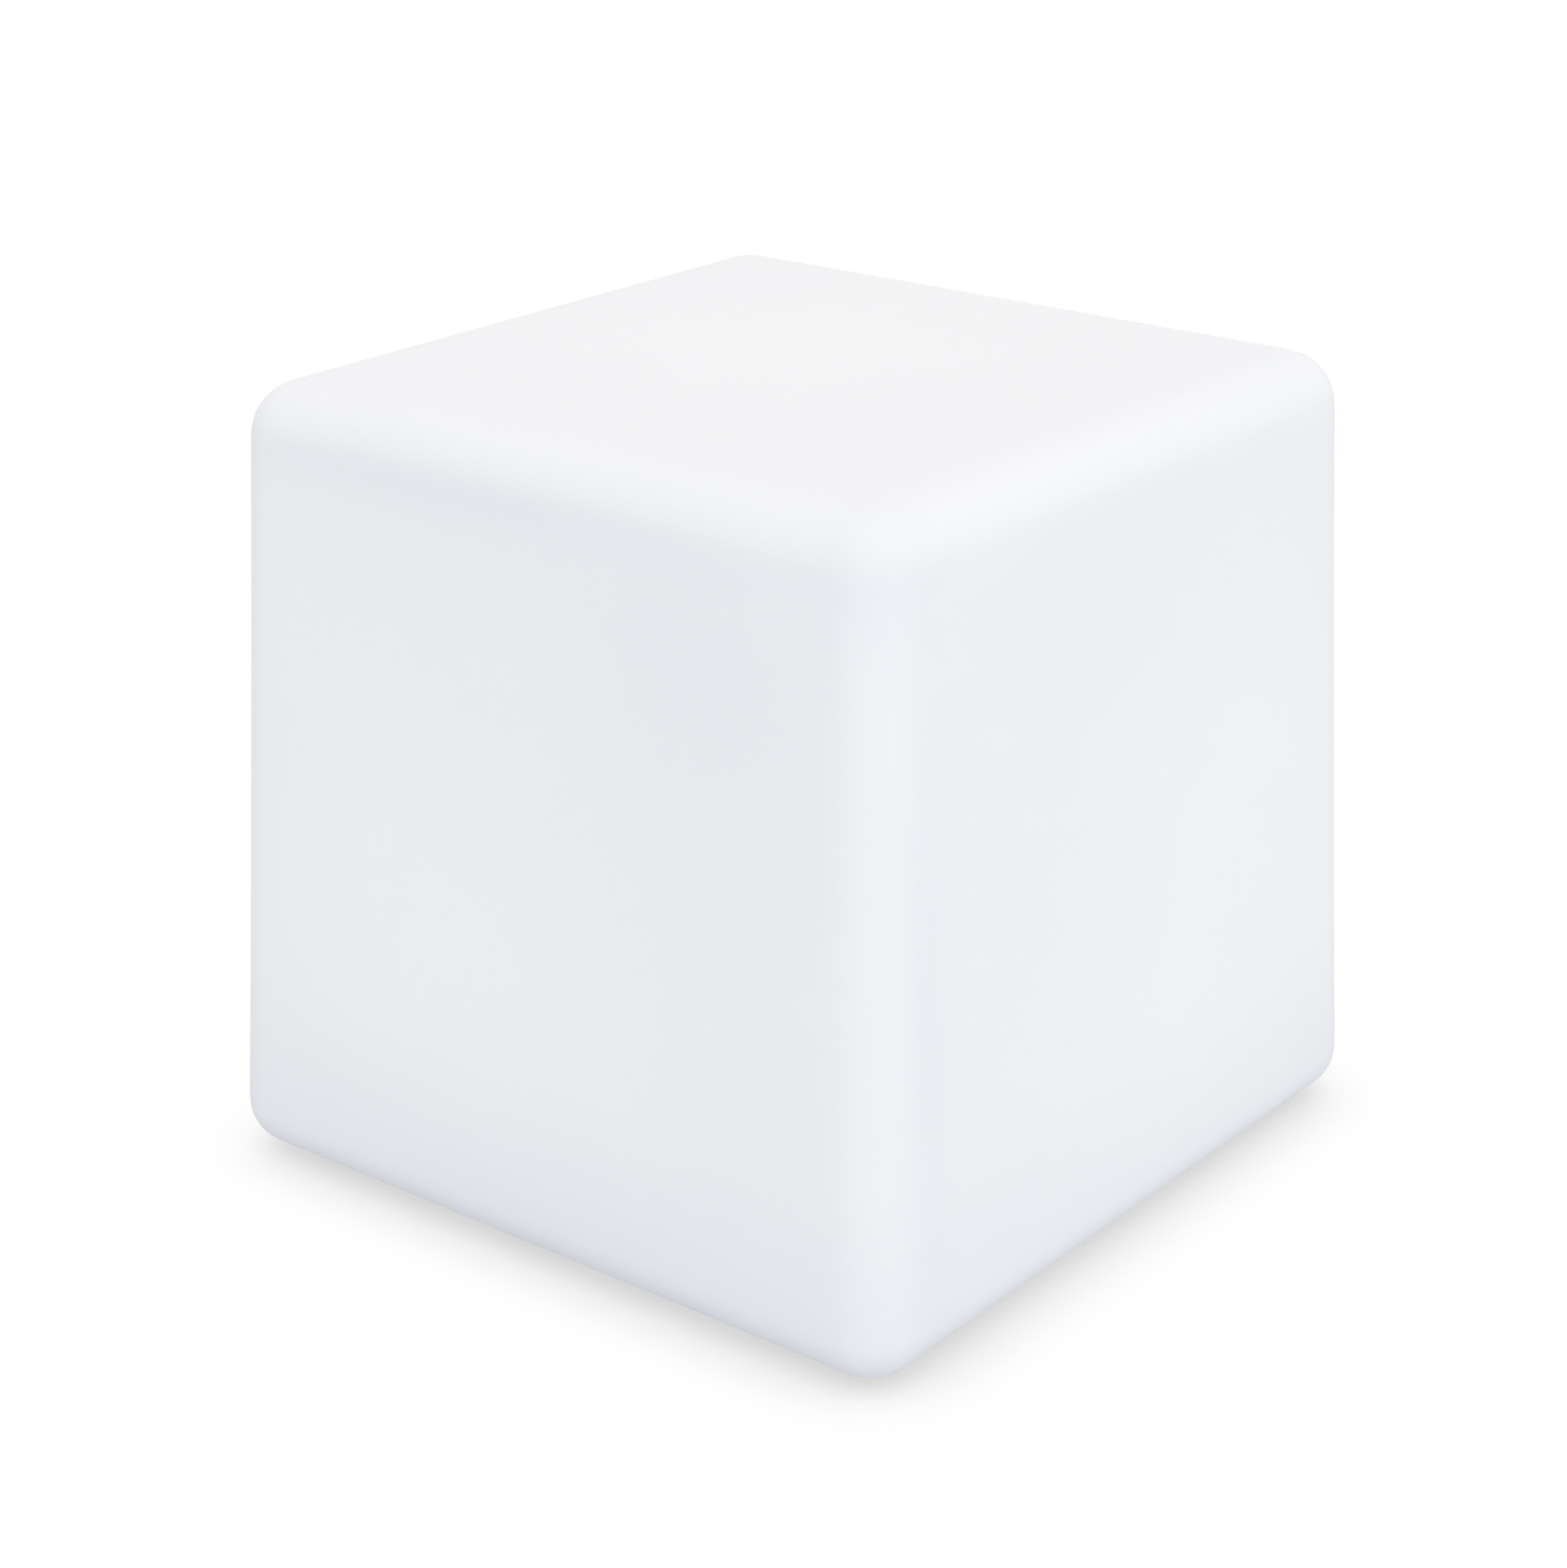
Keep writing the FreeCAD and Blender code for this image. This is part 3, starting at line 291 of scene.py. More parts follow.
def drawn_line(name, spots):
    """A line of edges: a small plane is merged to a point, and that is extruded from spot to spot."""
    line = added(name, bpy.ops.mesh.primitive_plane_add, size=MM, location=metres(spots[0]))
    whole(line)
    bpy.ops.mesh.merge(type="CENTER")
    for before, after in zip(spots, spots[1:]):
        step = [(second - first) * MM for first, second in zip(before, after)]
        bpy.ops.mesh.extrude_vertices_move(TRANSFORM_OT_translate={"value": step})
    bpy.ops.mesh.select_all(action="SELECT")
    return line


def turned(name, outline, centre=(0, 0), steps=64, base=0):
    """A round piece: half its outline is drawn above a base level, and that is spun upright."""
    x, y = centre
    piece = drawn_line(name, [(x + radius, y, base + level) for radius, level in outline])
    bpy.ops.mesh.spin(steps=steps, angle=FULL_TURN, center=(x * MM, y * MM, 0), axis=(0, 0, 1))
    return tidy(piece)


def plate(name, corners, low, high):
    """A flat plate: its outline is drawn and filled, and the face is drawn up."""
    piece = drawn_line(name, [(*corner, low) for corner in corners])
    bpy.ops.mesh.edge_face_add()
    bpy.ops.mesh.extrude_region_move(TRANSFORM_OT_translate={"value": (0, 0, (high - low) * MM)})
    bpy.ops.mesh.select_all(action="SELECT")
    bpy.ops.mesh.normals_make_consistent(inside=False)
    only(piece)
    return piece


def swept(name, inner, outer, low, high, start, stop, steps=24):
    """A curved bar of square section about the upright axis, between two angles in degrees."""
    begin = math.radians(start)
    edge = block(name, (inner, -0.1, low), (outer, 0.1, high))
    pick(edge, "FACE", lambda face: face.normal.y < 0.9)
    bpy.ops.mesh.delete(type="FACE")
    whole(edge)
    bpy.ops.transform.translate(value=(0, -0.1 * MM, 0))
    bpy.ops.transform.rotate(value=-begin, orient_axis="Z", center_override=(0, 0, 0))
    bpy.ops.mesh.spin(steps=steps, angle=begin - math.radians(stop), center=(0, 0, 0), axis=(0, 0, 1))
    return tidy(edge)


def arc(centre, radius, start, stop, count=5):
    """Points of an outline round a corner, from one angle to another in degrees."""
    spots = []
    for index in range(count + 1):
        turn = math.radians(start + (stop - start) * index / count)
        spots.append((centre[0] + radius * math.cos(turn), centre[1] + radius * math.sin(turn)))
    return spots


def thread(crest, root, level, stop, pitch, rise):
    """Points of an outline up along a thread, until past the level where it stops."""
    spots = []
    while level < stop:
        spots += [(root, level + rise), (crest, level + 2 * rise)]
        level += pitch
    return spots


def traced(name, solid):
    """A copy of a solid of the frame, merged to clean faces, to be shaped further."""
    piece = bpy.data.objects.new(name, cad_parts[solid].data.copy())
    bpy.context.collection.objects.link(piece)
    only(piece)
    bpy.ops.mesh.customdata_custom_splitnormals_clear()
    whole(piece)
    bpy.ops.mesh.remove_doubles(threshold=WELD)
    bpy.ops.mesh.dissolve_limited(angle_limit=math.radians(0.3))
    only(piece)
    return piece


def joined(name, pieces):
    """Several pieces as one, under one name."""
    only(pieces[0])
    for piece in pieces[1:]:
        piece.select_set(True)
    bpy.ops.object.join()
    pieces[0].name = pieces[0].data.name = name
    return pieces[0]


def moved(piece, place=(0, 0, 0), turn=0, tilt=0, about="Z"):
    """The piece turned about the origin and then moved."""
    piece.matrix_world = (Matrix.Translation(metres(place)) @ Matrix.Rotation(turn, 4, about)
                          @ Matrix.Rotation(tilt, 4, "X"))
    return settle(piece)


def copied(piece, *place, **about):
    """A copy with its own mesh, turned and moved in the same way."""
    again = bpy.data.objects.new(piece.name, piece.data.copy())
    bpy.context.collection.objects.link(again)
    return moved(again, *place, **about)


def repeated(name, piece, places):
    """The piece copied to each place, all as one piece; the first is cleared away."""
    made = [copied(piece, *place) for place in places]
    bpy.data.objects.remove(piece)
    return joined(name, made)


def fit(piece, material, slot, *nodes, body="light_unit"):
    """Finish a piece, hand it to the body it moves with, and let it stand for its solids."""
    piece.data.materials.clear()
    piece.data.materials.append(material)
    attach(piece, body)
    if nodes:
        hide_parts(*nodes)


def dress(material, *names):
    """Give solids of the frame their finish."""
    for name in names:
        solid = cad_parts[name]
        if not solid.material_slots:
            solid.data.materials.append(material)
        for place in solid.material_slots:
            place.material = material


# Finishes

def paint(name, shade, rough, metal=0.0, **sockets):
    """A material whose shader holds what is even all over."""
    material = bpy.data.materials.new(name)
    material.use_nodes = True
    shader = shader_of(material)
    shader.inputs["Base Color"].default_value = (*shade, 1)
    shader.inputs["Roughness"].default_value = rough
    shader.inputs["Metallic"].default_value = metal
    for key, value in sockets.items():
        shader.inputs[key.replace("_", " ")].default_value = value
    return material


def shader_of(material):
    return material.node_tree.nodes["Principled BSDF"]


def wire(material, source, target):
    material.node_tree.links.new(source, target)


def node(material, kind, sources=None, **settings):
    """A shader node with its settings, and the outputs that feed its inputs."""
    made = material.node_tree.nodes.new("ShaderNode" + kind)
    for key, value in settings.items():
        if key in made.inputs:
            made.inputs[key].default_value = value
        else:
            setattr(made, key, value)
    for key, source in (sources or {}).items():
        wire(material, source, made.inputs[key])
    return made


def where(material, centre=(0, 0, 0), stretch=(1, 1, 1)):
    """Object coordinates, moved and stretched."""
    place = {"Vector": node(material, "TexCoord").outputs["Object"]}
    return node(material, "Mapping", place, vector_type="TEXTURE", Location=centre,
                Scale=stretch).outputs["Vector"]


def noise(material, size, detail=2.0, stretch=(1, 1, 1)):
    """Soft noise whose patches are of that size in metres."""
    place = {"Vector": where(material, stretch=stretch)}
    return node(material, "TexNoise", place, Scale=1 / size, Detail=detail).outputs["Fac"]


def wave(material, size, direction, place=None):
    """Even stripes or rings whose period is that size in metres."""
    ways = {"bands_direction": direction}
    if direction == "RINGS":
        ways = {"wave_type": "RINGS", "rings_direction": "Z"}
    place = {"Vector": place or where(material)}
    return node(material, "TexWave", place, Scale=math.pi / (10 * size), **ways).outputs["Fac"]


def axis_of(material, axis):
    """One Object coordinate."""
    return node(material, "SeparateXYZ", {0: where(material)}).outputs[axis]


def patch(material, centre, reach):
    """One at a spot, fading to nothing at its reach."""
    place = {"Vector": where(material, centre, reach)}
    return node(material, "TexGradient", place, gradient_type="QUADRATIC_SPHERE").outputs["Fac"]


def between(material, value, low, high, start=0.35, stop=0.65):
    """Spread a value between two others; the usual start and stop suit a noise."""
    made = node(material, "MapRange", {0: value})
    for index, number in enumerate((start, stop, low, high), 1):
        made.inputs[index].default_value = number
    return made.outputs[0]


def mix(material, share, first, second):
    """Blend two colours, each a tuple or another node's output."""
    made = node(material, "Mix", {0: share}, data_type="RGBA")
    for index, shade in ((6, first), (7, second)):
        if isinstance(shade, tuple):
            made.inputs[index].default_value = (*shade, 1)
        else:
            wire(material, shade, made.inputs[index])
    return made.outputs[2]


def sum_up(material, operation, *values):
    """One step of arithmetic on numbers or other nodes' outputs."""
    made = node(material, "Math", operation=operation)
    for place, value in zip(made.inputs, values):
        if isinstance(value, float):
            place.default_value = value
        else:
            wire(material, value, place)
    return made.outputs[0]


def scaled(shade, *shares):
    """A colour with its channels multiplied, and none over one."""
    return tuple(min(channel * share, 1) for channel, share in zip(shade, shares * 3))


def tint(material, colour):
    wire(material, colour, shader_of(material).inputs["Base Color"])


def mottle(material, shade, share, size, **stretch):
    """Faint patches a share darker and lighter than the colour."""
    spread = between(material, noise(material, size, **stretch), 0, 1)
    tint(material, mix(material, spread, scaled(shade, 1 - share), scaled(shade, 1 + share)))


def wear(material, low, high, size, **stretch):
    """Roughness that drifts between two values."""
    wire(material, between(material, noise(material, size, 3, **stretch), low, high),
         shader_of(material).inputs["Roughness"])


def grain(material, depth, height):
    """A fine relief, that deep in metres."""
    bump = node(material, "Bump", {"Height": height}, Distance=depth, Strength=1.0)
    wire(material, bump.outputs["Normal"], shader_of(material).inputs["Normal"])
    return material


def milky_polyethylene(shade):
    """Rotationally moulded skin: satin, a fine orange peel, with painted light and painted shade in its
    colour.
    """
    material = paint("milky_polyethylene", shade, 0.5, Subsurface_Weight=0.35, Subsurface_Scale=0.003,
                     Subsurface_Radius=(1.0, 0.97, 0.94), Specular_IOR_Level=0.3)
    # Painted shade near the base: the colour is darker below 0.1 m, most of all at the foot
    tone = between(material, axis_of(material, "Z"), 0.395, 0.704, 0.015, 0.1)
    # Add the patches of painted light and painted shade, then a faint random tone
    for centre, reach, lift in PAINTED_LIGHT_SPOTS:
        spot = between(material, patch(material, centre, reach), 0, lift, 0, 1)
        tone = sum_up(material, "ADD", tone, spot)
    tone = sum_up(material, "ADD", tone, between(material, noise(material, 0.09), -0.02, 0.02))
    # The colour runs between a painted-shade end and a painted-light end, with a small random tone on top
    painted_shade_and_dark_tone = scaled(shade, 0.90, 0.923, 0.926)
    painted_light_and_pale_tone = scaled(shade, 1.037, 1.032, 1.032)
    tint(material, mix(material, tone, painted_shade_and_dark_tone, painted_light_and_pale_tone))
    wear(material, 0.5, 0.6, 0.03)
    return grain(material, 0.00003, noise(material, 0.0022, 1.0))


def moulded(name, shade, rough=(0.42, 0.55), texture=0.0006, **sockets):
    """Injection-moulded part with a spark-eroded texture."""
    material = paint(name, shade, rough[0], **sockets)
    mottle(material, shade, 0.03, 0.02)
    wear(material, *rough, 0.008)
    return grain(material, 0.000012, noise(material, texture))


def elastomer(name, shade):
    """Rubber or silicone: soft, a little dusty, with a faint bloom."""
    material = paint(name, shade, 0.6, Sheen_Weight=0.15, Sheen_Roughness=0.4)
    mottle(material, shade, 0.05, 0.006)
    wear(material, 0.58, 0.72, 0.004)
    return grain(material, 0.000015, noise(material, 0.0005, 3.0))


def drawn_metal(name, shade, rough=(0.22, 0.38), depth=0.000004):
    """Plain or plated metal with a very fine grain."""
    material = paint(name, shade, rough[0], metal=1.0)
    mottle(material, shade, 0.05, 0.004)
    wear(material, *rough, 0.0012)
    return grain(material, depth, noise(material, 0.0004))


def lathe_finish(name, shade):
    """Faced metal: fine rings about the middle."""
    material = paint(name, shade, 0.32, metal=1.0)
    mottle(material, shade, 0.015, 0.01)
    wear(material, 0.3, 0.35, 0.006)
    return grain(material, 0.00001, wave(material, 0.0006, "RINGS"))


def sleeve_film(shade):
    """Shrink film over a cell: glossy, drawn tight, with faint pulls along it."""
    material = paint("blue_cell_wrap", shade, 0.22, Coat_Weight=0.3)
    mottle(material, shade, 0.08, 0.006, stretch=(6, 1, 1))
    wear(material, 0.16, 0.3, 0.003, stretch=(5, 1, 1))
    return grain(material, 0.00002, noise(material, 0.0016, stretch=(8, 1, 1)))


def cast_resin(name, shade):
    """Cast resin: glossy and a little cloudy."""
    material = paint(name, shade, 0.12, Subsurface_Weight=0.3, Subsurface_Scale=0.001)
    mottle(material, shade, 0.06, 0.0012)
    wear(material, 0.08, 0.2, 0.002)
    return grain(material, 0.000004, noise(material, 0.0006))


def lead_sheath(name, first, second):
    """Twin lead: each core its own colour, soft sheath, faint stretch marks."""
    material = paint(name, first, 0.4)
    side = between(material, axis_of(material, "Y"), 0, 1, -0.0001, 0.0001)
    tint(material, mix(material, side, second, first))
    wear(material, 0.32, 0.48, 0.004)
    return grain(material, 0.00001, noise(material, 0.0008))


def webbing(name, shade):
    """Woven band: ribs across it and threads along it, matt and a little fuzzy."""
    material = paint(name, shade, 0.85, Sheen_Weight=0.4, Sheen_Roughness=0.5)
    along = node(material, "Attribute", attribute_name="along").outputs["Fac"]
    spot = node(material, "CombineXYZ", {0: axis_of(material, "X"), 1: along}).outputs[0]
    ribs = wave(material, 0.0009, "X", spot)
    threads = wave(material, 0.0014, "Y", spot)
    lift = sum_up(material, "MULTIPLY", ribs, threads)
    tint(material, mix(material, lift, shade, scaled(shade, 1.9)))
    return grain(material, 0.00015, lift)


def laminate(name, shade, copper, tracks):
    """Solder mask over copper: the tracks show faintly through it and stand up a little."""
    material = paint(name, shade, 0.3, Coat_Weight=0.4, Coat_Roughness=0.15)
    lines = tracks(material)
    tint(material, mix(material, lines, shade, copper))
    wear(material, 0.22, 0.36, 0.006)
    return grain(material, 0.00003, lines)


def bundled_tracks(material):
    """Bundles of fine tracks, some along the board and some across it, between plain pours of copper."""
    cells = node(material, "TexVoronoi", {"Vector": where(material)}, distance="CHEBYCHEV", Scale=120.0)
    chance = node(material, "SeparateColor", {0: cells.outputs["Color"]}).outputs
    way = between(material, chance[0], 0, 1, 0.49, 0.51)
    drawn = between(material, chance[1], 0, 1, 0.39, 0.41)
    black = (0, 0, 0)
    lines = [mix(material, drawn, black, wave(material, 0.0011, direction)) for direction in ("X", "Y")]
    return between(material, mix(material, way, *lines), 0, 1, 0.5, 0.62)


def ring_tracks(material):
    """Broad copper rings that feed the lights."""
    return between(material, wave(material, 0.005, "RINGS"), 0, 1, 0.08, 0.16)


# The moulded shell

class CUBELIGHT_OT_shell(bpy.types.Operator):
    """Model the hollow moulded cube with its well, neck and bosses"""
    bl_idname = "cube_light.shell"
    bl_label = "Moulded shell"

    def execute(self, context):
        sizes = context.scene.cube_light_shell
        low = SHELL_LOW.z
        high = SHELL_HIGH.z
        half = sizes.base_width / 2
        skin = slab("shell_skin", (half / MM, half / MM), low / MM, high / MM)
        pick(skin, "FACE", lambda face: face.normal.z > 0.9)
        share = 1 - (high - low) * math.tan(sizes.draft) / half
        bpy.ops.transform.resize(value=(share, share, 1), center_override=(0, 0, high))
        whole(skin)
        bpy.ops.mesh.subdivide(number_cuts=9)
        corner = half * share * 0.99
        hair = 0.01 * MM

        def upright(one, two):
            return min(abs(one.x), abs(one.y)) > corner and abs(one.z - two.z) > MM

        self.round_edges(skin, sizes.edge_radius, upright)
        self.round_edges(skin, sizes.top_radius, lambda one, two: min(one.z, two.z) > high - hair)
        self.round_edges(skin, sizes.base_radius, lambda one, two: max(one.z, two.z) < low + hair)
        self.dish(skin, sizes)
        modifier(skin, "SUBSURF", "round", levels=1, render_levels=1)
        self.open_base(skin, sizes)
        smooth(skin, 40)
        fit(skin, milky_polyethylene(sizes.skin), "milky_polyethylene", "cube_shell", body="shell")
        return {"FINISHED"}

    def round_edges(self, skin, radius, test):
        """Round the sharp edges that pass the test."""
        pick(skin, "EDGE", test)
        bpy.ops.object.mode_set(mode="OBJECT")
        near = {edge.index for edge in skin.data.edges if edge.select}
        bpy.ops.object.mode_set(mode="EDIT")
        bpy.ops.mesh.select_all(action="DESELECT")
        bpy.ops.mesh.edges_select_sharp(sharpness=math.radians(60))
        bpy.ops.object.mode_set(mode="OBJECT")
        for edge in skin.data.edges:
            edge.select = edge.select and edge.index in near
        bpy.ops.object.mode_set(mode="EDIT")
        bpy.ops.mesh.bevel(offset=radius, segments=8, profile=0.5, clamp_overlap=False)

    def dish(self, skin, sizes):
        """Press the middle of each panel in a little, as it sinks when it cools."""
        lean = sizes.draft
        middle = Vector((0, 0, (SHELL_LOW.z + SHELL_HIGH.z) / 2))
        sides = [Vector((x * math.cos(lean), y * math.cos(lean), math.sin(lean)))
                 for x, y in ((1, 0), (-1, 0), (0, 1), (0, -1))]
        out = 0.15
        belt_half = 0.06
        belt_reach = 0.12
        patch_half = 0.05
        patch_reach = 0.115
        for normal in sides:
            def belt(face):
                reach = face.center - middle
                return reach.dot(normal) > out and abs(reach.z) < belt_half
            pick(skin, "FACE", belt)
            self.press(normal, sizes.side_bow, belt_reach)
        panels = [(side, sizes.side_dish - sizes.side_bow) for side in sides]
        panels.append((Vector((0, 0, 1)), sizes.top_dish))
        for normal, depth in panels:
            def central(face):
                reach = face.center - middle
                aside = reach - reach.dot(normal) * normal
                return face.normal.dot(normal) > 0.99 and max(map(abs, aside)) < patch_half
            pick(skin, "FACE", central)
            self.press(normal, depth, patch_reach)
        only(skin)

    def press(self, normal, depth, reach):
        """Push what is picked inwards, and what is around it less and less."""
        bpy.ops.transform.translate(value=-depth * normal, use_proportional_edit=True,
                                    use_proportional_connected=True,
                                    proportional_edit_falloff="SMOOTH", proportional_size=reach)

    def open_base(self, skin, sizes):
        """Cut the well and the neck into the base, then give the skin its wall and bosses."""
        base = SHELL_LOW.z / MM
        wall = sizes.wall / MM
        mouth = 92
        roof = 16.5
        roof_radius = 90.53
        neck = 69
        top = 32.5
        lip = 4
        bite = 0.05
        outline = [(0, base - lip), (mouth + lip, base - lip)]
        outline += arc((mouth + lip, base + lip - bite), lip, 270, 180)
        outline += arc((roof_radius - lip, roof - lip), lip, 0, 90)
        outline += [(neck, roof), (neck, top), (0, top)]
        cut(skin, turned("well_core", outline, steps=96))
        pick(skin, "FACE", lambda face: face.normal.z < -0.9 and abs(face.center.z / MM - top) < 0.1)
        bpy.ops.mesh.delete(type="FACE")
        whole(skin)
        bpy.ops.mesh.remove_doubles(threshold=0.00001)
        bpy.ops.mesh.dissolve_degenerate(threshold=0.00001)
        modifier(skin, "SOLIDIFY", "wall", thickness=sizes.wall, offset=-1, use_even_offset=True,
                 use_quality_normals=True)
        boss_top = roof + 9
        bosses = [rod("boss", 8, roof + wall / 2, boss_top + wall, spot) for spot in RING_SPOTS]
        cut(skin, joined("bosses", bosses), "UNION")
        holes = [rod("insert_hole", 3.75, roof - wall, boss_top, spot, 6) for spot in RING_SPOTS]
        holes += [rod("foot_hole", 4.1, base - wall, base + 2 * wall, spot) for spot in FOOT_SPOTS]
        cut(skin, joined("holes", holes))


class CUBELIGHT_OT_feet(bpy.types.Operator):
    """Turn one rubber foot with its grooved sole and barbed stem, and copy it to the corners"""
    bl_idname = "cube_light.feet"
    bl_label = "Feet"

    def execute(self, context):
        rubber = elastomer("black_rubber", tuple(context.scene.cube_light_shell.rubber))
        outline = [(0, 0)]
        for inner in (3.6, 6.4, 9.2):
            outline += [(inner, 0), (inner + 0.35, 0.5), (inner + 1.05, 0.5), (inner + 1.4, 0)]
        outline += arc((12.9, 1.1), 1.1, 270, 360)
        outline += [(14, 2.5), (4, 2.5), (4, 6.5), (5.4, 6.5), (5.2, 7.2), (2.8, 11.1), (2.3, 11.5),
                    (0, 11.5)]
        foot = smooth(turned("foot", outline))
        for place in ("front_left", "front_right", "rear_left", "rear_right"):
            pad = copied(foot, (*middle_of("foot_" + place), 0))
            pad.name = "rubber_foot_" + place
            fit(pad, rubber, "black_rubber", "foot_" + place, body="shell")
        bpy.data.objects.remove(foot)
        return {"FINISHED"}


def screw(shank, length, head, height, pitch=0.9):
    """A pan-head screw, head up, its seat at the origin: domed, with a cross recess."""
    root = 0.8 * shank
    outline = [(0, height), (0.35 * head, 0.97 * height), (0.65 * head, 0.86 * height),
               (0.88 * head, 0.64 * height), (head, 0.32 * height), (head, 0), (shank, 0)]
    level = -1.2
    while level > 1.5 * pitch - length:
        outline += [(root, level), (shank, level - pitch / 2)]
        level -= pitch
    outline += [(root, level), (root, 0.5 * pitch - length), (0.4 * shank, -length), (0, -length)]
    made = turned("screw", outline, steps=32)
    for long, wide in ((0.56, 0.12), (0.12, 0.56)):
        cut(made, slab("arm", (head * long, head * wide), 0.35 * height, 2 * height))
    return smooth(made)


class CUBELIGHT_OT_screws(bpy.types.Operator):
    """Turn each kind of screw once and copy it to its places"""
    bl_idname = "cube_light.screws"
    bl_label = "Screws"

    def execute(self, context):
        steel = drawn_metal("stainless_steel", (0.62, 0.62, 0.61), depth=0.000002)
        tray_spots = [(28, 26), (-28, -26)]
        board_spots = [(27, -17.59), (-27, 17.59)]
        kinds = (
            ("ring", "shell", screw(2, 11, 3.9, 2.4), RING_FACE, math.pi, RING_SPOTS),
            ("dome", "light_unit", screw(1.2, 11, 2.4, 1.5, 0.7), DOME_SEAT, 0, TOWER_SPOTS),
            ("tray", "light_unit", screw(1.2, 5, 2.4, 1.5, 0.7), 40.5, 0, tray_spots),
            ("board", "light_unit", screw(1.2, 4.6, 2.4, 1.5, 0.7), 32.3, 0, board_spots))
        for held, body, kind, level, tilt, spots in kinds:
            places = [((x, y, level), 0.7 * index, tilt) for index, (x, y) in enumerate(spots)]
            heads = repeated(held + "_pan_heads", kind, places)
            fit(heads, steel, "stainless_steel", held + "_screws", body=body)
        return {"FINISHED"}


class CUBELIGHT_OT_switch(bpy.types.Operator):
    """Turn the sealed push switch and its dished button with the on-off mark"""
    bl_idname = "cube_light.switch"
    bl_label = "Push switch"

    def execute(self, context):
        outline = [(4.1, 7.1), (6.6, 7.1), (6.75, 7.25), (6.9, 7.1)] + arc((7.4, 7.7), 0.6, 270, 360)
        outline += [(8, UNIT_FACE), (6, UNIT_FACE), (6, 11.2)] + thread(6, 5.65, 11.4, 18, 0.75, 0.3)
        outline += [(5.65, 18.6), (5.65, 20.9), (5.35, 21.2), (0, 21.2), (0, 18.2), (4.1, 18.2),
                    (4.1, 7.1)]
        switch = smooth(turned("push_switch", outline, SWITCH_SPOT))
        fit(switch, moulded("black_nylon", BLACK_NYLON, (0.3, 0.45)), "black_nylon", "power_switch")
        face = arc((0, 16.5), 11, 270, 286.4, 6) + arc((3.45, 5.65), 0.55, 250, 360, 4)
        stem = [(4, 11.1), (2, 11.1), (2, 16.2), (1.8, 16.4), (0, 16.4)]
        button = smooth(turned("push_button", face + stem, SWITCH_SPOT))
        grey = moulded("grey_button", tuple(context.scene.cube_light_unit.button), (0.28, 0.4))
        fit(button, grey, "grey_button", "power_button", body="power_button")
        low, high = 5.15, 5.8
        ring = swept("ring", 1.35, 1.75, low, high, 125, 415)
        bar = block("bar", (-0.2, 0.9, low), (0.2, 2.2, high))
        mark = moved(joined("on_off_mark", [ring, bar]), (*SWITCH_SPOT, 0))
        fit(mark, moulded("white_mark", (0.8, 0.8, 0.8), (0.4, 0.5)), "grey_button", body="power_button")
        return {"FINISHED"}


class CUBELIGHT_OT_socket(bpy.types.Operator):
    """Turn the charging socket, its centre pin, its cap, and the light pipe beside it"""
    bl_idname = "cube_light.socket"
    bl_label = "Charging socket"

    def execute(self, context):
        outline = [(0, 16.4), (3.1, 16.4), (3.1, 7.8), (3.4, 7.5)] + arc((5.4, 7.9), 0.4, 270, 360, 3)
        outline += [(5.8, UNIT_FACE), (4, UNIT_FACE), (4, 11.4)] + thread(4, 3.7, 11.6, 18, 0.6, 0.25)
        outline += [(3.7, 18.4), (3.7, 19.9), (3.4, 20.2), (0, 20.2)]
        socket = smooth(turned("socket_body", outline, SOCKET_SPOT))
        fit(socket, moulded("socket_nylon", BLACK_NYLON, (0.35, 0.5)), "black_nylon", "charge_jack")
        outline = [(0, 16.4), (1, 16.4), (1, 11.5), (0.85, 11.05), (0.5, 10.9), (0, 10.9)]
        pin = smooth(turned("socket_pin", outline, SOCKET_SPOT, 24))
        fit(pin, drawn_metal("pin_plate", NICKEL, (0.12, 0.22)), "nickel_plate")
        self.cap(elastomer("cap_silicone", tuple(context.scene.cube_light_unit.seal)))
        outline = arc((0, 11.4), 3.2, 270, 308, 5)
        outline += [(2, UNIT_FACE), (1.5, UNIT_FACE), (1.5, 29.2), (1.3, 29.4), (0, 29.4)]
        pipe = smooth(turned("light_pipe", outline, PIPE_SPOT, 32))
        clear = moulded("clear_acrylic", (0.85, 0.9, 0.9), (0.06, 0.14), Transmission_Weight=0.25)
        fit(pipe, clear, "clear_acrylic", "charge_indicator")
        return {"FINISHED"}

    def cap(self, silicone):
        """The plug with its tongue and its mark, and the strap that holds it."""
        outline = arc((0, -38.9), 44.7, 90, 82.5, 5) + arc((6.8, 6.0), 0.7, 270, 360, 4)
        outline += [(7.5, 7.3), (7.3, 7.5), (2.85, 7.5), (2.85, 7.9), (2.7, 8.1), (2.85, 8.3),
                    (2.1, 9.9), (1.8, 10.1), (0, 10.1)]
        cap = turned("socket_cap", outline, SOCKET_SPOT)
        cut(cap, block("tongue", (-22, -3, 6.3), (-17.65, 3, 7.5)), "UNION")
        fit(smooth(cap), silicone, "grey_silicone", "charge_cap", body="charge_cap")
        low, high = 5.3, 5.95
        mark = plate("plug_mark", [(1.2, -1.9), (1.2, 1.9)] + arc((-0.2, 0), 1.9, 90, 270, 12), low, high)
        cut(mark, block("tail", (-4.8, -0.35, low), (-2, 0.35, high)), "UNION")
        for aside in (-0.95, 0.95):
            cut(mark, block("prong", (1, aside - 0.3, low), (3.2, aside + 0.3, high)), "UNION")
        fit(moved(mark, (*SOCKET_SPOT, 0)), silicone, "grey_silicone", body="charge_cap")
        fit(soften(traced("cap_tether", "cap_strap"), 0.25, 3), silicone, "grey_silicone", "cap_strap")


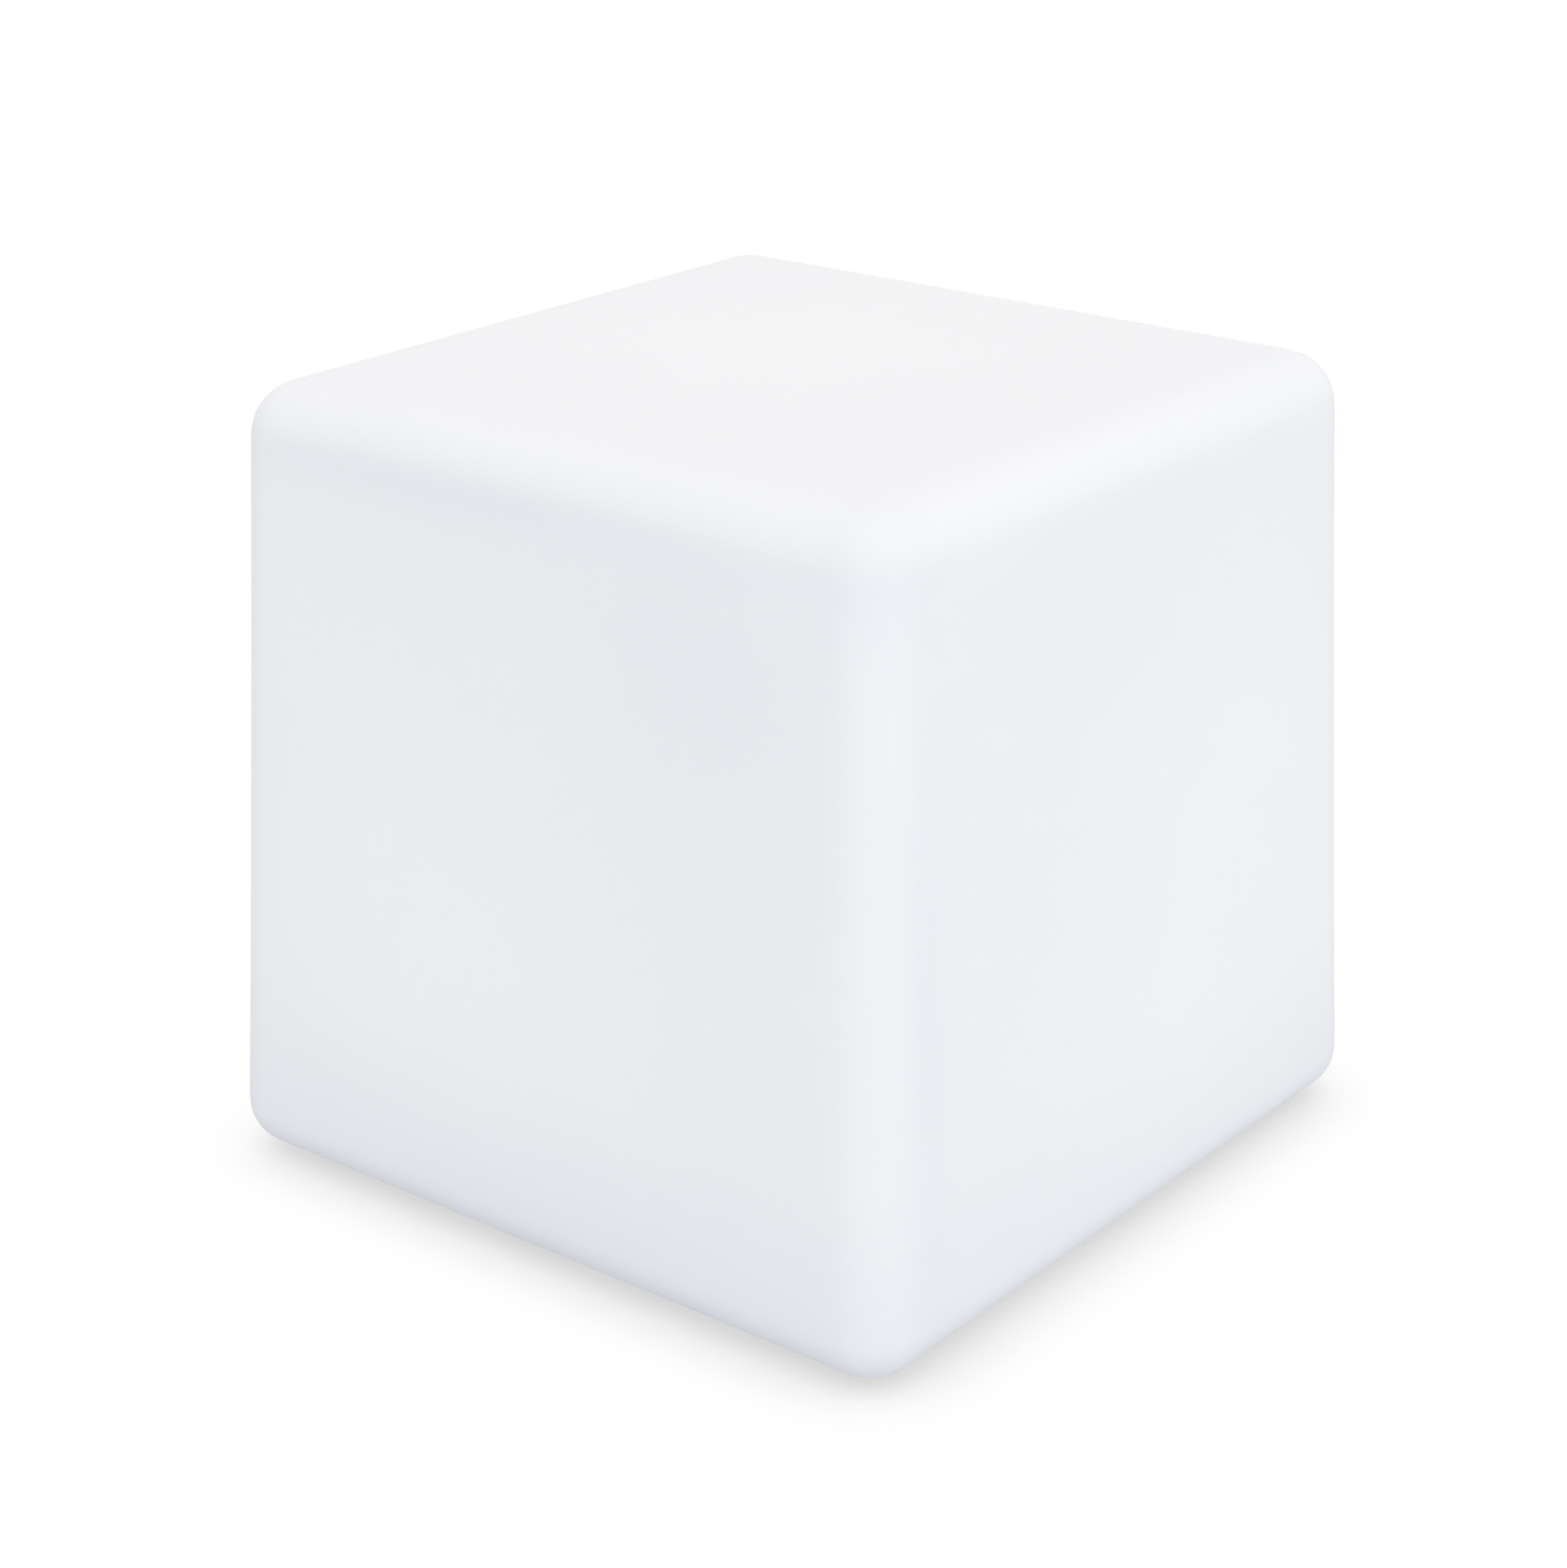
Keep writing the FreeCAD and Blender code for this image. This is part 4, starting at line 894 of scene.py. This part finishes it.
class CUBELIGHT_OT_ring(bpy.types.Operator):
    """Soften the bayonet ring and the housing, and mould the turning marks and grip ribs on them"""
    bl_idname = "cube_light.ring"
    bl_label = "Ring and housing"

    def execute(self, context):
        unit = context.scene.cube_light_unit
        white = moulded("white_abs", tuple(unit.housing))
        ring = soften(traced("twist_ring", "bayonet_ring"), 0.3)
        fit(ring, white, "white_abs", "bayonet_ring", body="shell")
        housing = soften(traced("unit_moulding", "unit_housing"), 0.35)
        fit(housing, white, "white_abs", "unit_housing")
        height = unit.mark_height / MM
        fit(self.lock_marks(RING_FACE, height), white, "white_abs", body="shell")
        fit(self.turn_marks(UNIT_FACE, height), white, "white_abs")
        rib = block("rib", (-0.6, 16.9, 12.2), (0.6, 17.4, 23.5))
        places = [((index * 3.6, 0, 0), turn) for index in range(-8, 9) for turn in (0, math.pi)]
        fit(soften(repeated("grip_ribs", rib, places), 0.2), white, "white_abs")
        return {"FINISHED"}

    def lock_marks(self, top, height):
        """A closed lock and an open one, under the ring."""
        low = top - height
        reach = 80.5
        marks = []
        for angle, slide in ((-45, 0), (-105, 2.2)):
            lock = soften(block("lock", (-2.4, -1.7, low), (2.4, 1.7, top)), 0.12)
            bow = soften(swept("bow", 1.05, 1.75, top - 0.8 * height, top, 0, 180, 12), 0.12)
            lock = joined("lock", [lock, moved(bow, (slide, 1.6, 0))])
            turn = math.radians(angle)
            spot = (reach * math.cos(turn), reach * math.sin(turn), 0)
            marks.append(moved(lock, spot, turn + math.pi / 2))
        return joined("lock_marks", marks)

    def turn_marks(self, top, height):
        """A pointer and a curved arrow, under the unit."""
        low = top - height
        pointer = soften(plate("pointer", [(67.2, -1.6), (71.4, 0), (67.2, 1.6)], low, top), 0.12)
        sweep = swept("arrow", 63.2, 64.4, low, top, -12, -44)
        tip = moved(plate("tip", [(62, 0), (65.6, 0), (63.8, -4)], low, top), turn=math.radians(-43.5))
        cut(sweep, tip, "UNION")
        soften(sweep, 0.12)
        marks = [moved(pointer, turn=math.radians(-45)), moved(sweep, turn=math.radians(-48))]
        return joined("turn_marks", marks)


class CUBELIGHT_OT_nuts(bpy.types.Operator):
    """Chamfer the two panel nuts that hold the switch and the socket"""
    bl_idname = "cube_light.nuts"
    bl_label = "Panel nuts"

    def execute(self, context):
        nickel = drawn_metal("nickel_plate", NICKEL, (0.12, 0.22))
        for name, solid in (("switch_hexagon", "switch_nut"), ("socket_hexagon", "jack_nut")):
            (left, front, bottom), (right, rear, top) = box_of(solid)
            flat, corner = sorted(((right - left) / 2, (rear - front) / 2))
            slope = 0.55 * (corner - flat)
            past = 0.01
            inner = flat - 0.1
            outer = corner + 0.1
            outline = [(0, bottom - past), (inner, bottom - past), (outer, bottom + slope),
                       (outer, top - slope), (inner, top + past), (0, top + past)]
            nut = traced(name, solid)
            cut(nut, turned("chamfer", outline, middle_of(solid), 48), "INTERSECT")
            fit(soften(nut, 0.08), nickel, "nickel_plate", solid)
        return {"FINISHED"}


class CUBELIGHT_OT_board(bpy.types.Operator):
    """Put the chips, the coil, the capacitors and the two connectors on the control board"""
    bl_idname = "cube_light.board"
    bl_label = "Control board"

    def execute(self, context):
        shade = tuple(context.scene.cube_light_unit.board)
        dress(laminate("green_laminate", shade, scaled(shade, 1.4), bundled_tracks), "control_board")
        tin = drawn_metal("tinned_legs", TIN, (0.2, 0.35))
        epoxy = moulded("black_epoxy", (0.03, 0.03, 0.035), (0.45, 0.6), 0.0003)
        bodies, legs = zip(self.chip((8, 4), (3.6, 3.6), 4, 9, 0.75),
                           self.chip((-8, -10), (2.8, 1.95), 2, 4, 1.27))
        fit(joined("chip_bodies", bodies), epoxy, "black_epoxy", "board_chips")
        fit(joined("chip_legs", legs), tin, "nickel_plate")
        self.coil((-8, 6), epoxy)
        self.capacitors(epoxy)
        self.connectors(tin)
        return {"FINISHED"}

    def chip(self, place, half, sides, count, pitch):
        """A dotted body, and its bent legs in rows along two or four sides."""
        high = 1.4
        body = slab("chip", half, 0.15, high)
        pick(body, "FACE", lambda face: face.normal.z > 0.9)
        bpy.ops.transform.resize(value=(0.96, 0.96, 1), center_override=(0, 0, high * MM))
        soften(body, 0.08)
        cut(body, rod("dot", 0.35, 1.32, 2, (0.8 - half[0], 0.8 - half[1]), 20))
        edge = half[1]
        reach = edge + 0.9 if sides == 4 else 3
        outline = [(edge - 0.3, 0.7), (edge + 0.3, 0.7), (edge + 0.45, 0), (reach, 0), (reach, 0.15),
                   (edge + 0.6, 0.15), (edge + 0.45, 0.85), (edge - 0.3, 0.85)]
        leg = plate("leg", outline, -0.16, 0.16)
        places = []
        for side in range(sides):
            turn = side * FULL_TURN / sides + math.pi / 2
            for index in range(count):
                aside = (index - (count - 1) / 2) * pitch
                spot = (place[0] - aside * math.sin(turn), place[1] + aside * math.cos(turn), BOARD_TOP)
                places.append((spot, turn))
        legs = repeated("legs", moved(leg, tilt=math.pi / 2), places)
        return moved(body, (*place, BOARD_TOP)), legs

    def coil(self, spot, epoxy):
        """A core between two flanges, and a winding of eight turns."""
        outline = [(0, 0), (4.3, 0), (4.5, 0.2), (4.5, 0.85), (4.35, 1), (3.6, 1), (3.6, 4), (4.35, 4),
                   (4.5, 4.15), (4.5, 4.8), (4.3, 5), (1.2, 5), (1.0, 4.8), (0, 4.8)]
        core = smooth(turned("coil_core", outline, spot, base=BOARD_TOP))
        fit(core, epoxy, "black_epoxy", "power_inductor")
        outline = [(3.5, 1)]
        for index in range(8):
            outline += arc((3.8, 1.19 + 0.375 * index), 0.18, -80, 80, 4)
        outline += [(3.5, 4), (3.5, 1)]
        winding = smooth(turned("coil_winding", outline, spot, base=BOARD_TOP), 60)
        fit(winding, drawn_metal("enamelled_copper", (0.55, 0.2, 0.08), (0.15, 0.25)), "brass")

    def capacitors(self, epoxy):
        """Two cans with a scored top, each on a base."""
        outline = [(0, 0.6), (2.95, 0.6), (3.1, 0.75), (3.1, 1.2), (2.9, 1.45), (3.1, 1.7)]
        outline += arc((2.7, 5.0), 0.4, 0, 90, 4) + [(0, 5.4)]
        can = turned("can", outline, base=BOARD_TOP)
        for reach in ((2.2, 0.09), (0.09, 2.2)):
            cut(can, slab("vent", reach, BOARD_TOP + 5.25, BOARD_TOP + 6))
        outline = [(0, 0), (3.1, 0), (3.2, 0.1), (3.2, 0.5), (3.1, 0.6), (0, 0.6)]
        base = smooth(turned("base", outline, base=BOARD_TOP))
        places = [((x, -10, 0), 0.3 * x) for x in (8, 16)]
        cans = repeated("capacitor_cans", smooth(can), places)
        fit(cans, drawn_metal("capacitor_can", (0.7, 0.7, 0.72)), "capacitor_can", "smoothing_capacitors")
        fit(repeated("capacitor_bases", base, places), epoxy, "black_epoxy")

    def connectors(self, tin):
        """A housing with a window, two slots and two grooves, and two pins in it, at each end."""
        plug = soften(slab("plug", (3.5, 3.75), 0, 4.6), 0.25)
        cut(plug, block("window", (-1.6, -2.4, 3.9), (2.2, 2.4, 6)))
        for side in (-1, 1):
            slot = side * 1.35
            cut(plug, block("slot", (-4, slot - 0.6, 1), (-2.4, slot + 0.6, 3.2)))
            groove = side * 3.75
            cut(plug, block("groove", (-2.6, groove - 0.3, 1.4), (4, groove + 0.3, 2.2)))
        pins = soften(block("pins", (-3.3, -1.65, 1.7), (-2.2, -1.05, 2.3)), 0.1)
        pins = joined("pins", [pins, copied(pins, (0, 2.7, 0))])
        places = [((-28.5, 0, BOARD_TOP), math.pi), ((28.5, 0, BOARD_TOP), 0)]
        housings = repeated("connector_housings", smooth(plug), places)
        fit(housings, moulded("ivory_nylon", (0.83, 0.8, 0.7)), "ivory_nylon", "lead_connectors")
        fit(repeated("connector_pins", pins, places), tin, "nickel_plate")


class CUBELIGHT_OT_battery(bpy.types.Operator):
    """Turn one cell with its sleeve and lay a copy each way in the tray, under the woven strap"""
    bl_idname = "cube_light.battery"
    bl_label = "Battery"

    def execute(self, context):
        nylon = moulded("black_nylon_tray", BLACK_NYLON, (0.35, 0.5))
        fit(soften(traced("cell_tray", "battery_tray"), 0.3), nylon, "black_nylon", "battery_tray")
        film = sleeve_film(tuple(context.scene.cube_light_unit.cell))
        steel = drawn_metal("cell_steel", (0.68, 0.68, 0.66), (0.26, 0.32), depth=0.000001)
        outline = [(7.4, -32.5), (7.6, -32.7), (8.5, -32.75), (8.95, -32.5), (9.15, -32.1), (9.2, -31.5),
                   (9.2, 28.3), (9.05, 28.8), (8.8, 29.2), (8.8, 29.5), (9.05, 29.9), (9.2, 30.4),
                   (9.2, 31.1), (9.05, 31.65), (8.6, 31.95), (7.5, 32.0), (7.3, 31.85), (7.3, 31.6),
                   (8.3, 31.4), (8.3, -32.2), (7.4, -32.5)]
        sleeve = smooth(turned("sleeve", outline, steps=72), 40)
        outline = [(0, -32.9), (7.1, -32.9), (7.5, -32.6), (8.35, -32.3), (8.35, 31.5), (7.4, 31.7),
                   (5.3, 31.55), (4.9, 31.2), (3.6, 31.2), (3.2, 31.6), (3.0, 32.0), (3.0, 32.65),
                   (2.75, 32.9), (0, 32.9)]
        can = smooth(turned("can", outline))
        for side, way in (("left", 1), ("right", -1)):
            place = ((0, way * CELL_ASIDE, CELL_LEVEL), way * math.pi / 2)
            wrap = copied(sleeve, *place, about="Y")
            wrap.name = wrap.data.name = "cell_sleeve_" + side
            fit(wrap, film, "blue_cell_wrap", "battery_cell_" + side)
            metal = copied(can, *place, about="Y")
            metal.name = metal.data.name = "cell_can_" + side
            fit(metal, steel, "nickel_plate")
        for spare in (sleeve, can):
            bpy.data.objects.remove(spare)
        dress(drawn_metal("cell_link_strip", NICKEL, (0.2, 0.3)), "cell_links")
        self.strap()
        return {"FINISHED"}

    def strap(self):
        """Woven band over both cells: its profile is drawn up along the cells, its edges are thinned."""
        drop = 3.5
        inner = 9.5
        outer = 10.3
        profile = [(CELL_ASIDE + outer, -drop)] + arc((CELL_ASIDE, 0), outer, 0, 90, 10)
        profile += arc((-CELL_ASIDE, 0), outer, 90, 180, 10)
        profile += [(-CELL_ASIDE - outer, -drop), (-CELL_ASIDE - inner, -drop)]
        profile += arc((-CELL_ASIDE, 0), inner, 180, 90, 10) + arc((CELL_ASIDE, 0), inner, 90, 0, 10)
        profile += [(CELL_ASIDE + inner, -drop)]
        half = 7
        strap = plate("strap_webbing", profile, -half, half)
        moved(strap, (0, 0, CELL_LEVEL), math.pi / 2, math.pi / 2)
        soften(strap, 0.35, 3, 40)
        along = strap.data.attributes.new("along", "FLOAT", "POINT")
        for point, value in zip(strap.data.vertices, along.data):
            value.value = self.travelled(point.co)
        fit(strap, webbing("black_webbing", (0.03, 0.03, 0.032)), "black_webbing", "battery_strap")

    def travelled(self, spot):
        """How far along the band a spot lies from its middle, for the weave to follow."""
        aside = CELL_ASIDE * MM
        beyond = abs(spot.y) - aside
        rise = spot.z - CELL_LEVEL * MM
        way = min(abs(spot.y), aside)
        if beyond > 0:
            way += 9.9 * MM * math.atan2(beyond, max(rise, 0)) + max(-rise, 0)
        return math.copysign(way, spot.y)


class CUBELIGHT_OT_leads(bpy.types.Operator):
    """Draw each flat two-core lead from its section, along its runs and round its bends"""
    bl_idname = "cube_light.leads"
    bl_label = "Flat leads"

    def execute(self, context):
        red = lead_sheath("red_and_black_lead", (0.55, 0.03, 0.025), (0.03, 0.03, 0.03))
        white = lead_sheath("white_and_grey_lead", (0.78, 0.78, 0.76), (0.35, 0.36, 0.38))
        sheaths = {"red_lead": red, "white_lead": white}
        level = BOARD_TOP + 2.3
        rise = 6.3
        bend = 6.93
        routes = (
            ("led_lead", "white_lead", (32, level), (1, 0),
             (("run", 0.7), ("bend", rise, 1), ("run", 65.4 - level - rise))),
            ("battery_lead", "red_lead", (-32, level), (-1, 0),
             (("run", 3.07), ("bend", bend, -1), ("run", 15.4 - 2 * bend), ("bend", bend, -1),
              ("run", 1.97))),
            ("jack_leads", "red_lead", (-28, 20.2), (0, 1), (("run", 10.5),)),
            ("switch_leads", "white_lead", (25, 21.2), (0, 1), (("run", 9.5),)))
        for solid, slot, start, ahead, moves in routes:
            lead = self.drawn(solid.replace("lead", "twin_lead"), start, ahead, moves)
            fit(lead, sheaths[slot], slot, solid)
        return {"FINISHED"}

    def drawn(self, name, start, ahead, moves):
        """Section across the start, drawn along the runs and spun round the bends."""
        section = arc((2.0, 0), 0.7, -140, 140, 12) + arc((-2.0, 0), 0.7, 40, 320, 12)
        x, z = start
        lead = drawn_line(name, [(x + up * ahead[1], aside, z + up * ahead[0]) for aside, up in section])
        bpy.ops.mesh.edge_face_add()
        bpy.ops.mesh.select_mode(type="FACE")
        for kind, far, *hand in moves:
            if kind == "run":
                step = metres((far * ahead[0], 0, far * ahead[1]))
                bpy.ops.mesh.extrude_region_move(TRANSFORM_OT_translate={"value": step})
                x, z = x + far * ahead[0], z + far * ahead[1]
            else:
                inward = (-hand[0] * ahead[1], hand[0] * ahead[0])
                centre = metres((x + far * inward[0], 0, z + far * inward[1]))
                bpy.ops.mesh.spin(steps=8, angle=hand[0] * math.pi / 2, center=centre, axis=(0, 1, 0))
                x, z = x + far * (ahead[0] + inward[0]), z + far * (ahead[1] + inward[1])
                ahead = inward
        return smooth(tidy(lead), 50)


class CUBELIGHT_OT_lights(bpy.types.Operator):
    """Make one light package and set a copy at each place, with the receiver, the lamp and the dome"""
    bl_idname = "cube_light.lights"
    bl_label = "Lights and dome"

    def execute(self, context):
        dress(lathe_finish("plain_aluminium", (0.75, 0.76, 0.77)), "led_plate")
        mask = laminate("white_laminate", (0.82, 0.83, 0.82), (0.86, 0.87, 0.86), ring_tracks)
        dress(mask, "led_board")
        self.packages()
        lamp = soften(block("charge_lamp", *box_of("indicator_led")), 0.25, 3)
        fit(lamp, cast_resin("indicator_resin", (0.8, 0.5, 0.12)), "led_package", "indicator_led")
        self.receiver()
        self.dome()
        return {"FINISHED"}

    def packages(self):
        """One light: a body with a clipped corner and a cup, resin in the cup, and six legs."""
        body = block("body", (-2.4, -2.5, 0.08), (2.4, 2.5, 1.6))
        pick(body, "EDGE", lambda one, two: min(one.x, two.x, one.y, two.y) > 2 * MM)
        bpy.ops.mesh.bevel(offset=0.7 * MM, segments=1)
        soften(body, 0.1)
        cut(body, turned("cup", [(0, 0.9), (1.5, 0.9), (2.0, 1.8), (0, 1.8)], steps=24))
        outline = [(0, 0.88), (1.52, 0.88), (1.9, 1.56), (1.2, 1.5), (0, 1.47)]
        resin = smooth(turned("resin", outline, steps=24))
        outline = [(1.9, 0), (2.5, 0), (2.5, 0.6), (2.35, 0.6), (2.35, 0.15), (1.9, 0.15)]
        leg = plate("leg", outline, -0.4, 0.4)
        legs = repeated("legs", moved(leg, tilt=math.pi / 2),
                        [((0, aside, 0), turn) for turn in (0, math.pi) for aside in (-1.6, 0, 1.6)])
        places = []
        for radius, count in ((31, 12), (16, 6)):
            for turn in [FULL_TURN * index / count for index in range(count)]:
                places.append(((radius * math.cos(turn), radius * math.sin(turn), LIGHT_SEAT), turn))
        white = moulded("package_white", (0.86, 0.86, 0.84), (0.3, 0.4))
        fit(repeated("light_packages", smooth(body), places), white, "white_laminate", "leds")
        amber = cast_resin("led_package", (0.9, 0.74, 0.22))
        fit(repeated("light_resin", resin, places), amber, "led_package")
        tin = drawn_metal("package_legs", TIN, (0.2, 0.3))
        fit(repeated("light_legs", legs, places), tin, "nickel_plate")

    def receiver(self):
        """A rounded body with a domed lens on it."""
        low, high = box_of("remote_receiver")
        foot = low[2]
        body = soften(block("receiver_body", low, (*high[:2], foot + 3.6)), 0.4, 3)
        outline = [(0, 2), (1.9, 2)] + arc((0, 3.1), 1.9, 0, 90, 8)
        cut(body, turned("lens", outline, steps=48, base=foot), "UNION")
        resin = cast_resin("receiver_epoxy", (0.035, 0.025, 0.03))
        fit(smooth(body, 40), resin, "black_epoxy", "remote_receiver")

    def dome(self):
        """Turned dome: a frosted cap with fine rings inside, a flange, and three drilled lugs."""
        inner = arc((0, 32.613), 53.587, 90, 34.8, 24)
        outline = [(0, 86.2)]
        for before, after in zip(inner[1:], inner[2:]):
            outline += [before, ((before[0] + after[0]) / 2, (before[1] + after[1]) / 2 + 0.12)]
        outline += [(44, 63.2), (56.6, 63.2), (56.8, 63.4), (56.8, 64.2), (59.7, 64.2), (60, 64.5),
                    (60, 66.4), (59.7, DOME_SEAT), (46, DOME_SEAT)]
        outline += arc((0, 28.241), 59.959, 39.9, 90, 28)[1:-1] + [(0, 88.2)]
        dome = turned("frosted_dome", outline, steps=96)
        cut(dome, joined("holes", [rod("hole", 1.5, 60, 70, spot) for spot in TOWER_SPOTS]))
        frost = moulded("frosted_polycarbonate", (0.9, 0.91, 0.92), (0.4, 0.5), Transmission_Weight=0.5)
        fit(smooth(dome, 20), frost, "frosted_polycarbonate", "lens_dome")


class CUBELIGHT_OT_seals(bpy.types.Operator):
    """Finish the seals and the threaded inserts"""
    bl_idname = "cube_light.seals"
    bl_label = "Seals and inserts"

    def execute(self, context):
        silicone = elastomer("grey_silicone", tuple(context.scene.cube_light_unit.seal))
        dress(silicone, "ring_gasket", "twist_seal", "dome_gasket")
        dress(drawn_metal("brass", (0.75, 0.58, 0.28)), "ring_inserts")
        return {"FINISHED"}


# The studio

def eye_rays(owner, path):
    """One for the camera's rays and for mirrored or refracted ones, and nothing for the rest."""
    bent = sum_up(owner, "MAXIMUM", path["Is Glossy Ray"], path["Is Transmission Ray"])
    return sum_up(owner, "MAXIMUM", path["Is Camera Ray"], bent)


class CUBELIGHT_OT_studio(bpy.types.Operator):
    """Set the pale floor, the soft light and the camera"""
    bl_idname = "cube_light.studio"
    bl_label = "Studio"

    def execute(self, context):
        studio = context.scene.cube_light_studio
        self.floor(studio)
        self.sky(context, studio)
        self.lamp("key_lamp", (0.62, -0.5, 0.6), studio.key)
        self.lamp("side_lamp", (1, -0.15, 0.1), studio.side)
        self.camera(context, studio)
        context.scene.view_settings.view_transform = "Standard"
        return {"FINISHED"}

    def floor(self, studio):
        """Paper floor: white to the eye, with a soft shadow where something comes close to it."""
        # a hair below the feet, whose flat faces would otherwise lie in the same plane
        under = metres((0, 0, -0.2))
        floor = added("studio_floor", bpy.ops.mesh.primitive_plane_add, size=30, location=under)
        paper = bpy.data.materials.new("floor_paper")
        paper.use_nodes = True
        paper.node_tree.nodes.clear()
        bounce = node(paper, "BsdfDiffuse", Color=(*studio.floor, 1))
        near = node(paper, "AmbientOcclusion", samples=8, Distance=studio.contact_reach)
        shade = node(paper, "ValToRGB", {"Fac": near.outputs["AO"]})
        for spot, level in ((0.1, 0.65), (0.7, 0.955), (0.9, 1.0)):
            stop = shade.color_ramp.elements.new(spot)
            stop.color = (level, level, level, 1)
        shade.color_ramp.elements.remove(shade.color_ramp.elements[0])
        seen = node(paper, "Emission", {"Color": shade.outputs["Color"]}, Strength=1.0)
        path = node(paper, "LightPath").outputs
        eye = eye_rays(paper, path)
        top = node(paper, "MixShader", {0: eye, 1: bounce.outputs[0], 2: seen.outputs[0]})
        back = node(paper, "NewGeometry").outputs["Backfacing"]
        clear = sum_up(paper, "MAXIMUM", back, self.window(paper, path))
        through = node(paper, "BsdfTransparent").outputs[0]
        sides = node(paper, "MixShader", {0: clear, 1: top.outputs[0], 2: through})
        node(paper, "OutputMaterial", {"Surface": sides.outputs[0]})
        floor.data.materials.append(paper)

    def window(self, paper, path):
        """Let light up through the floor under the cube, so that its underside can be seen from below."""
        across = [sum_up(paper, "ABSOLUTE", axis_of(paper, axis)) for axis in ("X", "Y")]
        half = 0.185
        gap = 0.08
        inside = sum_up(paper, "LESS_THAN", sum_up(paper, "MAXIMUM", *across), half)
        close = sum_up(paper, "LESS_THAN", path["Ray Length"], gap)
        unseen = sum_up(paper, "SUBTRACT", 1.0, path["Is Camera Ray"])
        return sum_up(paper, "MULTIPLY", sum_up(paper, "MULTIPLY", inside, close), unseen)

    def sky(self, context, studio):
        """Even light from all round, and white to the eye."""
        world = bpy.data.worlds.new("studio_sky")
        context.scene.world = world
        world.use_nodes = True
        world.node_tree.nodes.clear()
        seen = eye_rays(world, node(world, "LightPath").outputs)
        level = between(world, seen, studio.sky, 1.0, 0, 1)
        light = node(world, "Background", {"Strength": level}, Color=(1, 1, 1, 1))
        node(world, "OutputWorld", {"Surface": light.outputs[0]})

    def lamp(self, name, toward, power):
        """Large soft lamp that faces the cube from that side."""
        width = 3
        distance = 4
        toward = Vector(toward).normalized()
        lamp = bpy.data.lights.new(name, "AREA")
        lamp.shape = "DISK"
        lamp.size = width
        lamp.energy = power
        stand = bpy.data.objects.new(name, lamp)
        stand.location = Vector((0, 0, SHELL_HIGH.z / 2)) + toward * distance
        stand.rotation_euler = toward.to_track_quat("Z", "Y").to_euler()
        bpy.context.collection.objects.link(stand)

    def camera(self, context, studio):
        """The eye, at its place and along its line of sight."""
        view = bpy.data.cameras.new("camera")
        view.lens = studio.lens
        full_frame = 36
        view.sensor_width = full_frame
        eye = bpy.data.objects.new("camera", view)
        turn = Vector(studio.camera_line).to_track_quat("-Z", "Y").to_matrix().to_4x4()
        eye.matrix_world = (Matrix.Translation(studio.camera_place) @ turn
                            @ Matrix.Rotation(studio.camera_roll, 4, "Z"))
        context.collection.objects.link(eye)
        context.scene.camera = eye


class CUBELIGHT_PT_panel(bpy.types.Panel):
    bl_label = "Cube Light"
    bl_idname = "CUBELIGHT_PT_panel"
    bl_space_type = "VIEW_3D"
    bl_region_type = "UI"
    bl_category = "Cube Light"

    def draw(self, context):
        for settings in SETTINGS:
            box = self.layout.box()
            group = getattr(context.scene, settings)
            for key in group.__annotations__:
                box.prop(group, key)
        for step in STEPS:
            self.layout.operator(step.bl_idname)


SETTINGS = {"cube_light_shell": ShellSettings, "cube_light_unit": UnitSettings,
            "cube_light_studio": StudioSettings}
STEPS = (CUBELIGHT_OT_shell, CUBELIGHT_OT_feet, CUBELIGHT_OT_ring, CUBELIGHT_OT_screws,
         CUBELIGHT_OT_switch, CUBELIGHT_OT_socket, CUBELIGHT_OT_nuts, CUBELIGHT_OT_board,
         CUBELIGHT_OT_battery, CUBELIGHT_OT_leads, CUBELIGHT_OT_lights, CUBELIGHT_OT_seals,
         CUBELIGHT_OT_studio)


def register():
    for made in (*SETTINGS.values(), *STEPS, CUBELIGHT_PT_panel):
        bpy.utils.register_class(made)
    for name, made in SETTINGS.items():
        setattr(bpy.types.Scene, name, PointerProperty(type=made))


def unregister():
    for name in SETTINGS:
        delattr(bpy.types.Scene, name)
    for made in reversed((*SETTINGS.values(), *STEPS, CUBELIGHT_PT_panel)):
        bpy.utils.unregister_class(made)


def main():
    register()
    for step in STEPS:
        group, name = step.bl_idname.split(".")
        getattr(getattr(bpy.ops, group), name)()


if __name__ == "__main__":
    main()
